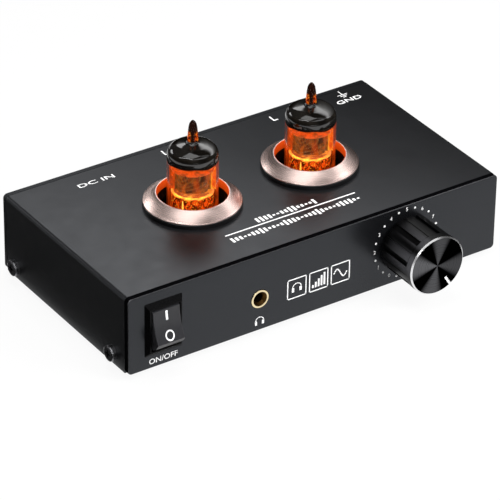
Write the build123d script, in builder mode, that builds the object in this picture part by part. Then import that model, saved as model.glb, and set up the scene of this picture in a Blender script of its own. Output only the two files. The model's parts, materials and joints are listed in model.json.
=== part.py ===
from build123d import *
import os
from math import cos, radians, sin, sqrt

# A valve phono preamplifier in a small steel case: its pieces, at real size.
# Millimetres, +Z up, front towards -Y. The origin is the middle of the whole
# footprint, from the knob's face to the ground post's end, at the feet's undersides.

os.makedirs("parts", exist_ok=True)

# ---- Case
case_width = 153.4
case_depth = 82.0
case_height = 30.0  # without the feet
sheet = 1.2  # steel of cover and tray
bend_radius = 1.4  # outside of the cover's long bends
front_plate = 2.0
rear_plate = 2.0
plate_corner = 1.6
plate_edge = 0.35
seam = 0.2  # joint gap between cover, tray and plates
end_flange = 5.6  # height of the tray's front and rear flanges
side_flange = 10.0
tray_edge = 0.8
foot_height = 2.4
foot_radius = 6.0
foot_draft = 0.5
foot_dimple_radius = 2.2
foot_dimple_depth = 1.0
foot_inset = 14.0  # from the case's sides to a foot's axis

# ---- Fasteners
clearance = 0.2  # radial, of a screw or stud in a plain hole
thread_gap = 0.05  # radial, of a thread in its tapped hole
side_screw_front = 10.1  # from the case's front to the first side screw
side_screw_rear = 7.7  # from the case's rear to the second one
side_screw_height = 4.1  # above the case's underside
head_radius = 3.0
head_height = 1.9
head_round = 0.6
shank_radius = 1.5
shank_length = 6.0
cross_width = 0.75
cross_length = 3.0
cross_depth = 0.9
end_fixing_height = 3.8  # studs and screws in the end flanges, above the underside
end_fixing_reach = 0.626  # of the outer ones, as a share of half the width
end_fixing_count = 4
stud_radius = 1.25
stud_length = 5.0
stud_nut_flats = 4.4
stud_nut_height = 1.8
rear_head_radius = 2.4
rear_head_height = 1.3
rear_shank_length = 5.5

# ---- Board. Each spot is a share of half the case's width, then of its depth from the front.
board_thickness = 1.6
board_margin = 1.5  # from the tray's side flanges
board_end_gap = 0.8  # from the front and rear plates
board_room = 1.0  # clear round the power switch
standoff_height = 5.4
standoff_flats = 5.0
board_screw_radius = 1.25
board_screw_head = 2.4
board_screw_head_height = 1.5
board_screw_length = 6.0
standoff_spots = ((-0.6, 0.171), (0.86, 0.22), (-0.86, 0.805), (0.886, 0.66), (0.0, 0.5))

# ---- Valves and their sockets
valve_pitch = 49.2  # between the two valve axes
valve_setback = 0.5  # of the valve axes from the front, as a share of the depth
glass_radius = 9.0
glass_wall = 0.8
valve_height = 41.5  # from its seat to the pip's tip
valve_above_cover = 33.2
pip_height = 8.6
pip_radius = 1.95
dome_height = 5.3
button_thickness = 3.0
button_round = 1.6
pin_circle_radius = 4.76
pin_radius = 0.51
pin_length = 7.0
lead_radius = 0.3
pin_glass_gap = 0.05
pin_pitch = 45.0
pin_count = 7
mica_radius = 7.6
mica_thickness = 0.35
mica_notch = 0.8
lower_mica_height = 14.1  # above the valve's seat
anode_height = 8.9
anode_length = 10.7
anode_width = 6.8
anode_wall = 0.3
anode_fin = 0.9
anode_turn = 146.0  # the anode's long way, from +X about +Z
cathode_radius = 0.9
grid_rod_radius = 0.35
grid_rod_offset = 2.6
rod_gap = 0.1
cathode_reach = 1.2  # past each mica
getter_height = 2.2  # above the upper mica
getter_ring = 2.6
getter_wire = 0.35
getter_post = 0.22
socket_radius = 10.0
socket_foot_radius = 8.6
socket_foot_height = 3.0
socket_chamfer = 0.6
seat_gap = 0.3  # between a valve and its socket
contact_radius = 0.65
contact_depth = 8.2
socket_well = 2.4  # radius of the middle hole, over the glow lamp
lamp_radius = 1.5
lamp_height = 5.3
lamp_rim_radius = 1.9
lamp_rim_height = 1.0

# ---- Trim rings round the valves
ring_bore = 12.55
ring_spigot = 13.3
ring_radius = 17.35
ring_height = 5.1  # above the cover
ring_land = 0.35
ring_crown = 0.5
spigot_depth = 2.2  # below the cover's top
ring_fit = 0.1
washer_radius = 17.5
washer_thickness = 1.6

# ---- Volume control
dial_inset = 39.2  # from the case's right side to the knob's axis
dial_height = 15.2  # above the case's underside
knob_reach = 18.8  # from the front plate to the knob's face
knob_radius = 11.2
knob_gap = 1.0  # between the front plate and the knob's back
knob_band = 3.0
knob_chamfer = 0.5
grip_step = 0.15
grip_line = 0.25
grip_root = 1.1  # depth of the gaps between the grips
grip_count = 8
grip_gap = 2.1
knob_recess_radius = 8.4
knob_recess_depth = 6.6
knob_cap = 4.0
pointer_angle = 147.0  # clockwise from straight up, seen from the front
pointer_start = 6.7
pointer_width = 1.1
pointer_depth = 0.3
shaft_radius = 3.0
shaft_fit = 0.05
shaft_tail = 5.0
bush_radius = 3.5
bush_length = 4.6  # proud of the front plate
pot_width = 12.4
pot_depth = 9.0
pot_corner = 0.6
pot_nut_flats = 5.0
pot_nut_height = 2.0
screw_station = 11.0  # of the knob's set screw, from the front plate
set_screw_radius = 1.5
set_screw_sink = 0.6
set_screw_socket = 0.75
set_screw_socket_depth = 1.5

# ---- Power switch
switch_inset = 14.0  # from the case's left side to the switch's middle
switch_height = 15.6
bezel_width = 15.0
bezel_height = 21.0
bezel_thickness = 1.7
bezel_side_slope = 1.2
bezel_end_slope = 1.9
bezel_round = 0.5
body_width = 13.0
body_height = 19.0
body_depth = 14.0
cutout_gap = 0.1
rocker_width = 10.7
rocker_reach = 6.15  # from the pivot forward to the touch face's two edges
rocker_half = 5.87  # from the middle up and down to those edges
rocker_tilt = 17.0
rocker_dish = 0.75
rocker_pivot = 2.3  # behind the front plate's face
rocker_gap = 0.3  # round the rocker's ends
rocker_side_gap = 0.4
rocker_back = 2.6
rocker_edge = 0.3
well_rim = 0.7  # depth of the opening's narrower rim
well_depth = 9.4
trunnion_radius = 0.8
trunnion_length = 0.5
trunnion_fit = 0.06
clip_reach = 0.8
clip_length = 3.0
clip_height = 6.0
blade_width = 4.7
blade_thickness = 0.8
blade_length = 7.0
blade_root = 3.0
blade_offset = 4.8
wire_radius = 0.7
wire_runs = (3.0, 6.0)  # from the lower and upper blade back to each bend
wire_bend = 1.8

# ---- Headphone jack
jack_place = -0.309  # share of half the case's width
jack_height = 12.7
jack_width = 12.0
jack_depth = 13.0
jack_block_height = 9.0
sleeve_radius = 3.5
sleeve_proud = 0.3
sleeve_mouth = 2.8
sleeve_funnel = 1.2
phone_bore = 1.8
phone_bore_depth = 12.5
sleeve_root = 2.0

# ---- Phono sockets, power inlet and ground post on the rear plate
output_place = -0.0795  # middle of the output pair, as a share of half the width
input_place = 0.5215
phono_pitch = 15.0
phono_height = 15.5
block_margin = 6.5  # of a block beyond its outer jack's axis
block_depth = 10.0
block_top = 6.6  # above the jacks' axes
boss_radius = 5.4
boss_proud = 0.8
shell_radius = 4.15
shell_wall = 0.85
shell_reach = 9.5
shell_root = 6.0
shell_root_radius = 3.75  # inside the block, under the barrel's step
shell_shoulder = 0.1  # that step's height above the boss
shell_lip = 0.3  # chamfer round the barrel's mouth
shell_lip_reach = 0.4
insert_recess = 0.6
contact_bore = 1.6
contact_wall = 0.35
contact_recess = 1.2
press_gap = 0.03  # radial, between pieces pressed into one another
inlet_place = -0.583
inlet_width = 9.0
inlet_depth = 14.0
inlet_height = 14.4
inlet_nose = 4.0
inlet_nose_proud = 0.4
inlet_bore = 3.1
inlet_bore_depth = 9.5
inlet_pin_radius = 1.05
inlet_pin_root = 2.0
post_inset = 13.4  # from the case's right side to the post's axis
post_height = 15.2
post_reach = 14.0
post_radius = 2.0
post_collar = 4.2
post_collar_height = 1.5
post_tail = 6.0
lock_nut_flats = 3.5
lock_nut_height = 2.6
post_washer_radius = 4.0
post_washer_thickness = 0.8
face_gap = 0.1
thumb_nut_radius = 4.6
thumb_nut_length = 6.0
thumb_nut_fit = 0.05
flute_count = 16
flute_radius = 0.45

# ---- Components on the board
can_radius = 4.0
can_height = 11.5
can_bevel = 0.4
can_spots = ((-0.782, 0.46), (-0.782, 0.62), (-0.639, 0.46), (0.652, 0.317), (0.795, 0.378), (0.678, 0.683))
film_size = (7.2, 3.0, 6.5)
film_spots = ((-0.072, 0.293), (0.072, 0.293), (-0.072, 0.707), (0.072, 0.707))
film_round = 0.6
chip_size = (9.8, 6.4, 3.4)
chip_leg = 0.45
chip_leg_drop = 1.6
chip_spots = ((-0.078, 0.177), (0.13, 0.177), (-0.6, 0.707))
resistor_radius = 1.15
resistor_length = 6.3
resistor_lead = 0.3
resistor_lead_reach = 1.5  # beyond each end
resistor_rise = 1.6
resistor_spots = ((0.782, 0.537), (0.6, 0.5), (0.321, 0.268), (-0.321, 0.732), (0.321, 0.732), (-0.574, 0.6))
coil_radius = 4.8
coil_waist = 3.9
coil_height = 6.0
coil_flange = 1.0
coil_spot = (-0.6, 0.32)

# ---- Levels and faces that follow from the sizes above
overall_depth = knob_reach + case_depth + post_reach
front_y = knob_reach - overall_depth / 2
rear_y = front_y + case_depth
mid_y = (front_y + rear_y) / 2
inner_front = front_y + front_plate
inner_rear = rear_y - rear_plate
half_width = case_width / 2
floor_z = foot_height
top_z = floor_z + case_height
tray_half = half_width - sheet - seam
tray_depth = inner_rear - inner_front
board_low = floor_z + sheet + standoff_height
board_top = board_low + board_thickness
seat_z = top_z + valve_above_cover - valve_height
valve_y = front_y + valve_setback * case_depth
valve_sides = (("left", -valve_pitch / 2), ("right", valve_pitch / 2))
side_screw_rows = (front_y + side_screw_front, rear_y - side_screw_rear)
end_fixing_z = floor_z + end_fixing_height
end_fixing_row = [end_fixing_reach * half_width * (2 * i / (end_fixing_count - 1) - 1) for i in range(end_fixing_count)]
switch_x = -half_width + switch_inset
jack_x = jack_place * half_width
dial_x = half_width - dial_inset
inlet_x = inlet_place * half_width
post_x = half_width - post_inset
phono_pairs = (("output", output_place * half_width), ("input", input_place * half_width))
phono_z = floor_z + phono_height


def spots(shares):
    """Board positions from shares of half the case's width and of its depth."""
    return [(across * half_width, front_y + along * case_depth) for across, along in shares]


def front_facing(x, y, z):
    """Workplane that looks out of the front: its x is +X, its y is +Z."""
    return Plane(origin=(x, y, z), x_dir=(1, 0, 0), z_dir=(0, -1, 0))


def rear_facing(x, y, z):
    """Workplane that looks out of the rear: its x is -X, its y is +Z."""
    return Plane(origin=(x, y, z), x_dir=(-1, 0, 0), z_dir=(0, 1, 0))


def turn(seat, outline, mode=Mode.ADD):
    """Turn an outline of (radius, height) points about the seat plane's normal."""
    section = Plane(origin=seat.origin, x_dir=seat.x_dir, z_dir=-seat.y_dir)
    with BuildSketch(section) as profile:
        with BuildLine():
            Polyline(*outline, close=True)
        make_face()
    revolve(profile.sketch, axis=Axis(seat.origin, seat.z_dir), mode=mode)


def bore(seat, radius, depth):
    """Sink a round hole of this depth into the piece, from the seat plane inwards."""
    with Locations(seat):
        Cylinder(radius, depth, align=(Align.CENTER, Align.CENTER, Align.MAX), mode=Mode.SUBTRACT)


def stub(seat, radius, length):
    """Stand a cylinder on the seat plane."""
    with Locations(seat):
        Cylinder(radius, length, align=(Align.CENTER, Align.CENTER, Align.MIN))


def screw(seat, head, height, shank, length):
    """Add a pan-head screw with a cross recess, its head standing on the seat plane."""
    rounding = min(head_round, height * 0.4)
    turn(
        seat,
        (
            (0, -length),
            (shank, -length),
            (shank, 0),
            (head, 0),
            (head, height - rounding),
            (head - rounding * 0.3, height - rounding * 0.3),
            (head - rounding, height),
            (0, height),
        ),
    )
    with Locations(seat):
        with Locations((0, 0, height)):
            for width, depth in ((cross_length, cross_width), (cross_width, cross_length)):
                Box(
                    width * head / head_radius,
                    depth * head / head_radius,
                    2 * cross_depth * height / head_height,
                    mode=Mode.SUBTRACT,
                )


def hexagon(seat, flats, height, hole):
    """Add a hexagon nut on the seat plane; flats is half its width across the flats."""
    with BuildSketch(seat) as outline:
        RegularPolygon(flats, 6, major_radius=False)
        Circle(hole, mode=Mode.SUBTRACT)
    extrude(outline.sketch, amount=height)


def save(piece, name):
    """Label a finished piece and write its STEP file."""
    piece.part.label = name
    export_step(piece.part, f"parts/{name}.step")


# ==== Case ====

# A shallow tray: floor, tall side flanges for the cover's screws, low end flanges.
with BuildPart() as base_tray:
    with BuildSketch(Plane.XY.offset(floor_z)):
        with Locations((0, mid_y)):
            Rectangle(2 * tray_half, tray_depth)
    extrude(amount=side_flange)
    fillet(base_tray.edges().group_by(Axis.Z)[0].filter_by(Axis.Y), tray_edge)
    with BuildSketch(Plane.XY.offset(floor_z + sheet)):
        with Locations((0, mid_y)):
            Rectangle(2 * (tray_half - sheet), tray_depth - 2 * sheet)
    extrude(amount=side_flange, mode=Mode.SUBTRACT)
    with BuildSketch(Plane.XY.offset(floor_z + end_flange)):
        with Locations((0, mid_y)):
            Rectangle(2 * (tray_half - sheet), tray_depth)
    extrude(amount=side_flange, mode=Mode.SUBTRACT)
    with Locations(*[(0, y, floor_z + side_screw_height) for y in side_screw_rows]):
        Cylinder(shank_radius + thread_gap, case_width, rotation=(0, 90, 0), mode=Mode.SUBTRACT)
    for x in end_fixing_row:
        bore(front_facing(x, inner_front, end_fixing_z), stud_radius + clearance, sheet)
        bore(rear_facing(x, inner_rear, end_fixing_z), shank_radius * rear_head_radius / head_radius + thread_gap, sheet)
save(base_tray, "base_tray")

# The cover: top and both sides in one folded sheet, with an opening for each valve.
cover_depth = tray_depth - 2 * seam
with BuildPart() as top_cover:
    with BuildSketch(front_facing(0, inner_rear - seam, 0)):
        with Locations((0, floor_z + case_height / 2)):
            outside = Rectangle(case_width, case_height)
        fillet(outside.vertices().group_by(Axis.Y)[-1], bend_radius)
        with Locations((0, floor_z + (case_height - sheet) / 2)):
            Rectangle(case_width - 2 * sheet, case_height - sheet, mode=Mode.SUBTRACT)
    extrude(amount=cover_depth)
    for side, x in valve_sides:
        bore(Plane((x, valve_y, top_z)), ring_spigot + ring_fit, sheet)
    with Locations(*[(0, y, floor_z + side_screw_height) for y in side_screw_rows]):
        Cylinder(shank_radius + clearance, 2 * case_width, rotation=(0, 90, 0), mode=Mode.SUBTRACT)
save(top_cover, "top_cover")

# Front plate with openings for switch, headphone jack and volume control.
with BuildPart() as front_panel:
    with BuildSketch(front_facing(0, inner_front, 0)):
        with Locations((0, floor_z + case_height / 2)):
            RectangleRounded(case_width, case_height, plate_corner)
        with Locations((switch_x, floor_z + switch_height)):
            Rectangle(body_width + 2 * cutout_gap, body_height + 2 * cutout_gap, mode=Mode.SUBTRACT)
        with Locations((jack_x, floor_z + jack_height)):
            Circle(sleeve_radius + ring_fit, mode=Mode.SUBTRACT)
        with Locations((dial_x, floor_z + dial_height)):
            Circle(bush_radius + ring_fit, mode=Mode.SUBTRACT)
    extrude(amount=front_plate)
    fillet(front_panel.faces().sort_by(Axis.Y)[0].outer_wire().edges(), plate_edge)
    for x in end_fixing_row:
        stub(rear_facing(x, inner_front, end_fixing_z), stud_radius, stud_length)
save(front_panel, "front_panel")

# Rear plate with openings for the inlet, four phono sockets and the ground post.
with BuildPart() as rear_panel:
    with BuildSketch(front_facing(0, rear_y, 0)):
        with Locations((0, floor_z + case_height / 2)):
            RectangleRounded(case_width, case_height, plate_corner)
        with Locations((inlet_x, floor_z + inlet_height)):
            Circle(inlet_nose + ring_fit, mode=Mode.SUBTRACT)
        for name, x in phono_pairs:
            with Locations((x - phono_pitch / 2, phono_z), (x + phono_pitch / 2, phono_z)):
                Circle(boss_radius + ring_fit, mode=Mode.SUBTRACT)
        with Locations((post_x, floor_z + post_height)):
            Circle(post_radius + clearance, mode=Mode.SUBTRACT)
        with Locations(*[(x, end_fixing_z) for x in end_fixing_row]):
            Circle(shank_radius * rear_head_radius / head_radius + clearance, mode=Mode.SUBTRACT)
    extrude(amount=rear_plate)
    fillet(rear_panel.faces().sort_by(Axis.Y)[-1].outer_wire().edges(), plate_edge)
save(rear_panel, "rear_panel")

with BuildPart() as cover_screws:
    for side in (-1, 1):
        for y in side_screw_rows:
            spot = (side * half_width, y, floor_z + side_screw_height)
            screw(Plane(spot, z_dir=(side, 0, 0)), head_radius, head_height, shank_radius, shank_length)
save(cover_screws, "cover_screws")

with BuildPart() as front_panel_nuts:
    for x in end_fixing_row:
        seat = rear_facing(x, inner_front + sheet, end_fixing_z)
        hexagon(seat, stud_nut_flats / 2, stud_nut_height, stud_radius + thread_gap)
save(front_panel_nuts, "front_panel_nuts")

with BuildPart() as rear_panel_screws:
    for x in end_fixing_row:
        seat = rear_facing(x, rear_y, end_fixing_z)
        rear_shank = shank_radius * rear_head_radius / head_radius
        screw(seat, rear_head_radius, rear_head_height, rear_shank, rear_shank_length)
save(rear_panel_screws, "rear_panel_screws")

with BuildPart() as rubber_feet:
    for x in (-half_width + foot_inset, half_width - foot_inset):
        for y in (front_y + foot_inset, rear_y - foot_inset):
            turn(
                Plane((x, y, 0)),
                (
                    (foot_dimple_radius, 0),
                    (foot_radius - foot_draft, 0),
                    (foot_radius, foot_draft),
                    (foot_radius, foot_height),
                    (0, foot_height),
                    (0, foot_dimple_depth),
                    (foot_dimple_radius, foot_dimple_depth),
                ),
            )
save(rubber_feet, "rubber_feet")

# ==== Board ====

board_half = tray_half - sheet - board_margin
board_front = inner_front + board_end_gap
board_rear = inner_rear - board_end_gap
standoff_points = spots(standoff_spots)
switch_notch = front_plate + body_depth + blade_length + board_room  # room behind the switch, from the front
with BuildPart() as main_board:
    with BuildSketch(Plane.XY.offset(board_low)):
        with Locations((0, (board_front + board_rear) / 2)):
            Rectangle(2 * board_half, board_rear - board_front)
        with Locations((-board_half, board_front)):
            Rectangle(
                2 * (switch_x + bezel_width / 2 + board_room + board_half),
                2 * (front_y + switch_notch - board_front),
                mode=Mode.SUBTRACT,
            )
        with Locations(*standoff_points):
            Circle(board_screw_radius + clearance, mode=Mode.SUBTRACT)
    extrude(amount=board_thickness)
save(main_board, "main_board")

with BuildPart() as board_standoffs:
    for x, y in standoff_points:
        seat = Plane((x, y, floor_z + sheet))
        hexagon(seat, standoff_flats / 2, standoff_height, board_screw_radius + thread_gap)
save(board_standoffs, "board_standoffs")

with BuildPart() as board_screws:
    for x, y in standoff_points:
        seat = Plane((x, y, board_top))
        screw(seat, board_screw_head, board_screw_head_height, board_screw_radius, board_screw_length)
save(board_screws, "board_screws")

# Upright electrolytic capacitors with a rolled groove near the foot.
with BuildPart() as electrolytic_capacitors:
    for x, y in spots(can_spots):
        turn(
            Plane((x, y, board_top)),
            (
                (0, 0),
                (can_radius, 0),
                (can_radius, can_height * 0.14),
                (can_radius - can_bevel, can_height * 0.18),
                (can_radius, can_height * 0.22),
                (can_radius, can_height - can_bevel),
                (can_radius - can_bevel, can_height),
                (0, can_height),
            ),
        )
save(electrolytic_capacitors, "electrolytic_capacitors")

with BuildPart() as film_capacitors:
    with BuildSketch(Plane.XY.offset(board_top)):
        with Locations(*spots(film_spots)):
            RectangleRounded(film_size[0], film_size[1], film_round)
    extrude(amount=film_size[2])
save(film_capacitors, "film_capacitors")

# Dual in-line chips: a body on eight bent legs each.
with BuildPart() as amplifier_chips:
    for x, y in spots(chip_spots):
        with Locations((x, y, board_top + chip_leg_drop)):
            low = (Align.CENTER, Align.CENTER, Align.MIN)
            Box(chip_size[0], chip_size[1], chip_size[2] - chip_leg_drop / 2, align=low)
            for row in (-1, 1):
                for leg in (-1.5, -0.5, 0.5, 1.5):
                    with Locations((leg * 2.54, row * (chip_size[1] + chip_leg) / 2, 0)):
                        Box(chip_leg * 2, chip_leg, chip_leg_drop * 2, align=(Align.CENTER, Align.CENTER, Align.CENTER))
save(amplifier_chips, "amplifier_chips")

with BuildPart() as resistors:
    lead_half = resistor_length / 2 + resistor_lead_reach
    for x, y in spots(resistor_spots):
        with Locations((x, y, board_top + resistor_rise)):
            Cylinder(resistor_radius, resistor_length, rotation=(0, 90, 0))
            Cylinder(resistor_lead, 2 * lead_half, rotation=(0, 90, 0))
        for end in (-1, 1):
            foot = Plane((x + end * (lead_half - resistor_lead), y, board_top))
            stub(foot, resistor_lead, resistor_rise)
save(resistors, "resistors")

coil_x, coil_y = spots([coil_spot])[0]
with BuildPart() as boost_inductor:
    turn(
        Plane((coil_x, coil_y, board_top)),
        (
            (0, 0),
            (coil_radius, 0),
            (coil_radius, coil_flange),
            (coil_waist, coil_flange),
            (coil_waist, coil_height - coil_flange),
            (coil_radius, coil_height - coil_flange),
            (coil_radius, coil_height),
            (0, coil_height),
        ),
    )
save(boost_inductor, "boost_inductor")

# ==== Valves, sockets, lamps and trim rings ====

pip_z = seat_z + valve_height - pip_height
shoulder_z = pip_z - dome_height
lower_mica = seat_z + lower_mica_height
anode_low = lower_mica + mica_thickness
upper_mica = anode_low + anode_height
mica_holes = (-grid_rod_offset, grid_rod_offset)

for side, valve_x in valve_sides:
    axis_plane = Plane((valve_x, valve_y, 0))
    section = Plane(origin=(valve_x, valve_y, 0), x_dir=(1, 0, 0), z_dir=(0, -1, 0))
    seat = Plane((valve_x, valve_y, seat_z))
    electrodes = Plane(
        origin=(valve_x, valve_y, anode_low),
        x_dir=(cos(radians(anode_turn)), sin(radians(anode_turn)), 0),
        z_dir=(0, 0, 1),
    )

    # Moulded socket: a stepped body with seven contact holes and a middle well.
    socket_top = seat_z - seat_gap
    with BuildPart() as tube_socket:
        turn(
            axis_plane,
            (
                (socket_well, board_top),
                (socket_foot_radius, board_top),
                (socket_foot_radius, board_top + socket_foot_height),
                (socket_radius, board_top + socket_foot_height),
                (socket_radius, socket_top - socket_chamfer),
                (socket_radius - socket_chamfer, socket_top),
                (socket_well, socket_top),
            ),
        )
        with Locations(Plane((valve_x, valve_y, socket_top))):
            with PolarLocations(pin_circle_radius, pin_count, 0, (pin_count - 1) * pin_pitch, endpoint=True):
                Cylinder(
                    contact_radius,
                    contact_depth,
                    align=(Align.CENTER, Align.CENTER, Align.MAX),
                    mode=Mode.SUBTRACT,
                )
    save(tube_socket, f"{side}_tube_socket")

    # Small lamp that lights the valve from below.
    with BuildPart() as glow_lamp:
        turn(
            Plane((valve_x, valve_y, board_top)),
            (
                (0, 0),
                (lamp_rim_radius, 0),
                (lamp_rim_radius, lamp_rim_height),
                (lamp_radius, lamp_rim_height),
                (lamp_radius, lamp_height - lamp_radius),
                (lamp_radius * 0.87, lamp_height - lamp_radius / 2),
                (lamp_radius / 2, lamp_height - lamp_radius * 0.13),
                (0, lamp_height),
            ),
        )
    save(glow_lamp, f"{side}_glow_lamp")

    with BuildPart() as ring_washer:
        turn(
            Plane((valve_x, valve_y, top_z)),
            (
                (ring_spigot + ring_fit, 0),
                (washer_radius, 0),
                (washer_radius, washer_thickness - ring_land / 2),
                (washer_radius - ring_land / 2, washer_thickness),
                (ring_spigot + ring_fit, washer_thickness),
            ),
        )
    save(ring_washer, f"{side}_ring_washer")

    # Turned ring: a spigot through the cover, and a cone up to a narrow crown.
    with BuildPart() as trim_ring:
        turn(
            Plane((valve_x, valve_y, top_z)),
            (
                (ring_bore, -spigot_depth),
                (ring_spigot, -spigot_depth),
                (ring_spigot, washer_thickness),
                (ring_radius, washer_thickness),
                (ring_radius, washer_thickness + ring_land),
                (ring_bore + ring_crown, ring_height),
                (ring_bore + ring_crown / 3, ring_height),
                (ring_bore, ring_height - ring_crown / 3),
            ),
        )
    save(trim_ring, f"{side}_trim_ring")

    # Glass envelope: button base, straight wall, dome and drawn-off pip.
    with BuildPart() as tube_glass:
        with BuildSketch(section) as outside:
            with BuildLine():
                Polyline(
                    (0, pip_z + pip_height),
                    (0, seat_z),
                    (glass_radius - button_round, seat_z),
                    (glass_radius - button_round * 0.3, seat_z + button_round * 0.3),
                    (glass_radius, seat_z + button_round),
                    (glass_radius, shoulder_z),
                )
                Spline(
                    (glass_radius, shoulder_z),
                    (glass_radius * 0.86, shoulder_z + dome_height * 0.56),
                    (pip_radius, pip_z),
                    tangents=[(0, 1), (-1, 0.55)],
                )
                Spline(
                    (pip_radius, pip_z),
                    (pip_radius * 0.93, pip_z + pip_height * 0.3),
                    (pip_radius * 0.82, pip_z + pip_height * 0.62),
                    (pip_radius * 0.55, pip_z + pip_height * 0.9),
                    (0, pip_z + pip_height),
                    tangents=[(-0.3, 1), (-1, 0)],
                )
            make_face()
        revolve(outside.sketch, axis=Axis((valve_x, valve_y, 0), (0, 0, 1)))
        with BuildSketch(section) as inside:
            with BuildLine():
                Polyline(
                    (0, pip_z - glass_wall),
                    (0, seat_z + button_thickness),
                    (glass_radius - glass_wall, seat_z + button_thickness),
                    (glass_radius - glass_wall, shoulder_z),
                )
                Spline(
                    (glass_radius - glass_wall, shoulder_z),
                    ((glass_radius - glass_wall) * 0.8, shoulder_z + (dome_height - glass_wall) * 0.66),
                    (0, pip_z - glass_wall),
                    tangents=[(0, 1), (-1, 0)],
                )
            make_face()
        revolve(inside.sketch, axis=Axis((valve_x, valve_y, 0), (0, 0, 1)), mode=Mode.SUBTRACT)
        with Locations(seat):
            with PolarLocations(pin_circle_radius, pin_count, 0, (pin_count - 1) * pin_pitch, endpoint=True):
                Cylinder(pin_radius + pin_glass_gap, 3 * button_thickness, mode=Mode.SUBTRACT)
    save(tube_glass, f"{side}_tube_glass")

    # Seven pins, each carried on as a thin lead up to the lower mica.
    with BuildPart() as tube_pins:
        with Locations(seat):
            with PolarLocations(pin_circle_radius, pin_count, 0, (pin_count - 1) * pin_pitch, endpoint=True):
                low = (Align.CENTER, Align.CENTER, Align.MIN)
                Cylinder(lead_radius, lower_mica_height, align=low)
                with Locations((0, 0, -pin_length)):
                    Cylinder(pin_radius, pin_length + button_thickness, align=low)
        chamfer(tube_pins.edges().group_by(Axis.Z)[0], pin_radius / 2)
    save(tube_pins, f"{side}_tube_pins")

    # Notched mica discs that hold the electrodes.
    with BuildPart() as tube_micas:
        for height in (lower_mica, upper_mica):
            with BuildSketch(electrodes.offset(height - anode_low)):
                Circle(mica_radius)
                Circle(cathode_radius + rod_gap, mode=Mode.SUBTRACT)
                with Locations(*[(x, 0) for x in mica_holes]):
                    Circle(grid_rod_radius + rod_gap, mode=Mode.SUBTRACT)
                with PolarLocations(mica_radius, 10):
                    Circle(mica_notch / 2, mode=Mode.SUBTRACT)
            extrude(amount=mica_thickness)
    save(tube_micas, f"{side}_tube_micas")

    # Anode: a flattened tube with a fin along each end.
    with BuildPart() as tube_anode:
        with BuildSketch(electrodes):
            SlotOverall(anode_length, anode_width)
            Rectangle(anode_length + 2 * anode_fin, anode_wall)
            SlotOverall(anode_length - 2 * anode_wall, anode_width - 2 * anode_wall, mode=Mode.SUBTRACT)
        extrude(amount=anode_height)
    save(tube_anode, f"{side}_tube_anode")

    # Cathode sleeve and two grid rods, held in the micas' holes.
    with BuildPart() as tube_cathode:
        rods_low = lower_mica - cathode_reach - anode_low
        rods_length = upper_mica + mica_thickness + cathode_reach - (lower_mica - cathode_reach)
        with BuildSketch(electrodes.offset(rods_low)):
            Circle(cathode_radius)
            with Locations(*[(x, 0) for x in mica_holes]):
                Circle(grid_rod_radius)
        extrude(amount=rods_length)
    save(tube_cathode, f"{side}_tube_cathode")

    # Getter: a wire ring on one post above the upper mica.
    with BuildPart() as tube_getter:
        post = electrodes.offset(upper_mica + mica_thickness - anode_low)
        with Locations(post):
            with Locations((0, getter_ring, 0)):
                Cylinder(getter_post, getter_height, align=(Align.CENTER, Align.CENTER, Align.MIN))
            with Locations((0, 0, getter_height)):
                Torus(getter_ring, getter_wire)
    save(tube_getter, f"{side}_tube_getter")

# ==== Volume control ====

dial = front_facing(dial_x, front_y, floor_z + dial_height)
pot_low = board_top - (floor_z + dial_height)
pot_back = front_facing(dial_x, inner_front + pot_depth, floor_z + dial_height)
with BuildPart() as volume_pot:
    with BuildSketch(pot_back):
        with Locations((0, (pot_low + pot_width / 2) / 2)):
            RectangleRounded(pot_width, pot_width / 2 - pot_low, pot_corner)
    extrude(amount=pot_depth)
    bore(front_facing(dial_x, inner_front, floor_z + dial_height), shaft_radius + shaft_fit, shaft_tail + 0.5)
save(volume_pot, "volume_pot")

with BuildPart() as pot_bushing:
    turn(
        dial,
        (
            (shaft_radius + shaft_fit, -front_plate),
            (bush_radius, -front_plate),
            (bush_radius, bush_length - 0.4),
            (bush_radius - 0.3, bush_length),
            (shaft_radius + shaft_fit, bush_length),
        ),
    )
save(pot_bushing, "pot_bushing")

with BuildPart() as pot_nut:
    hexagon(dial, pot_nut_flats, pot_nut_height, bush_radius + thread_gap)
save(pot_nut, "pot_nut")

shaft_end = knob_reach - knob_cap
with BuildPart() as pot_shaft:
    turn(
        dial,
        (
            (0, -front_plate - shaft_tail),
            (shaft_radius, -front_plate - shaft_tail),
            (shaft_radius, shaft_end - 0.8),
            (shaft_radius - 0.4, shaft_end - 0.3),
            (0, shaft_end - 0.3),
        ),
    )
save(pot_shaft, "pot_shaft")

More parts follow.
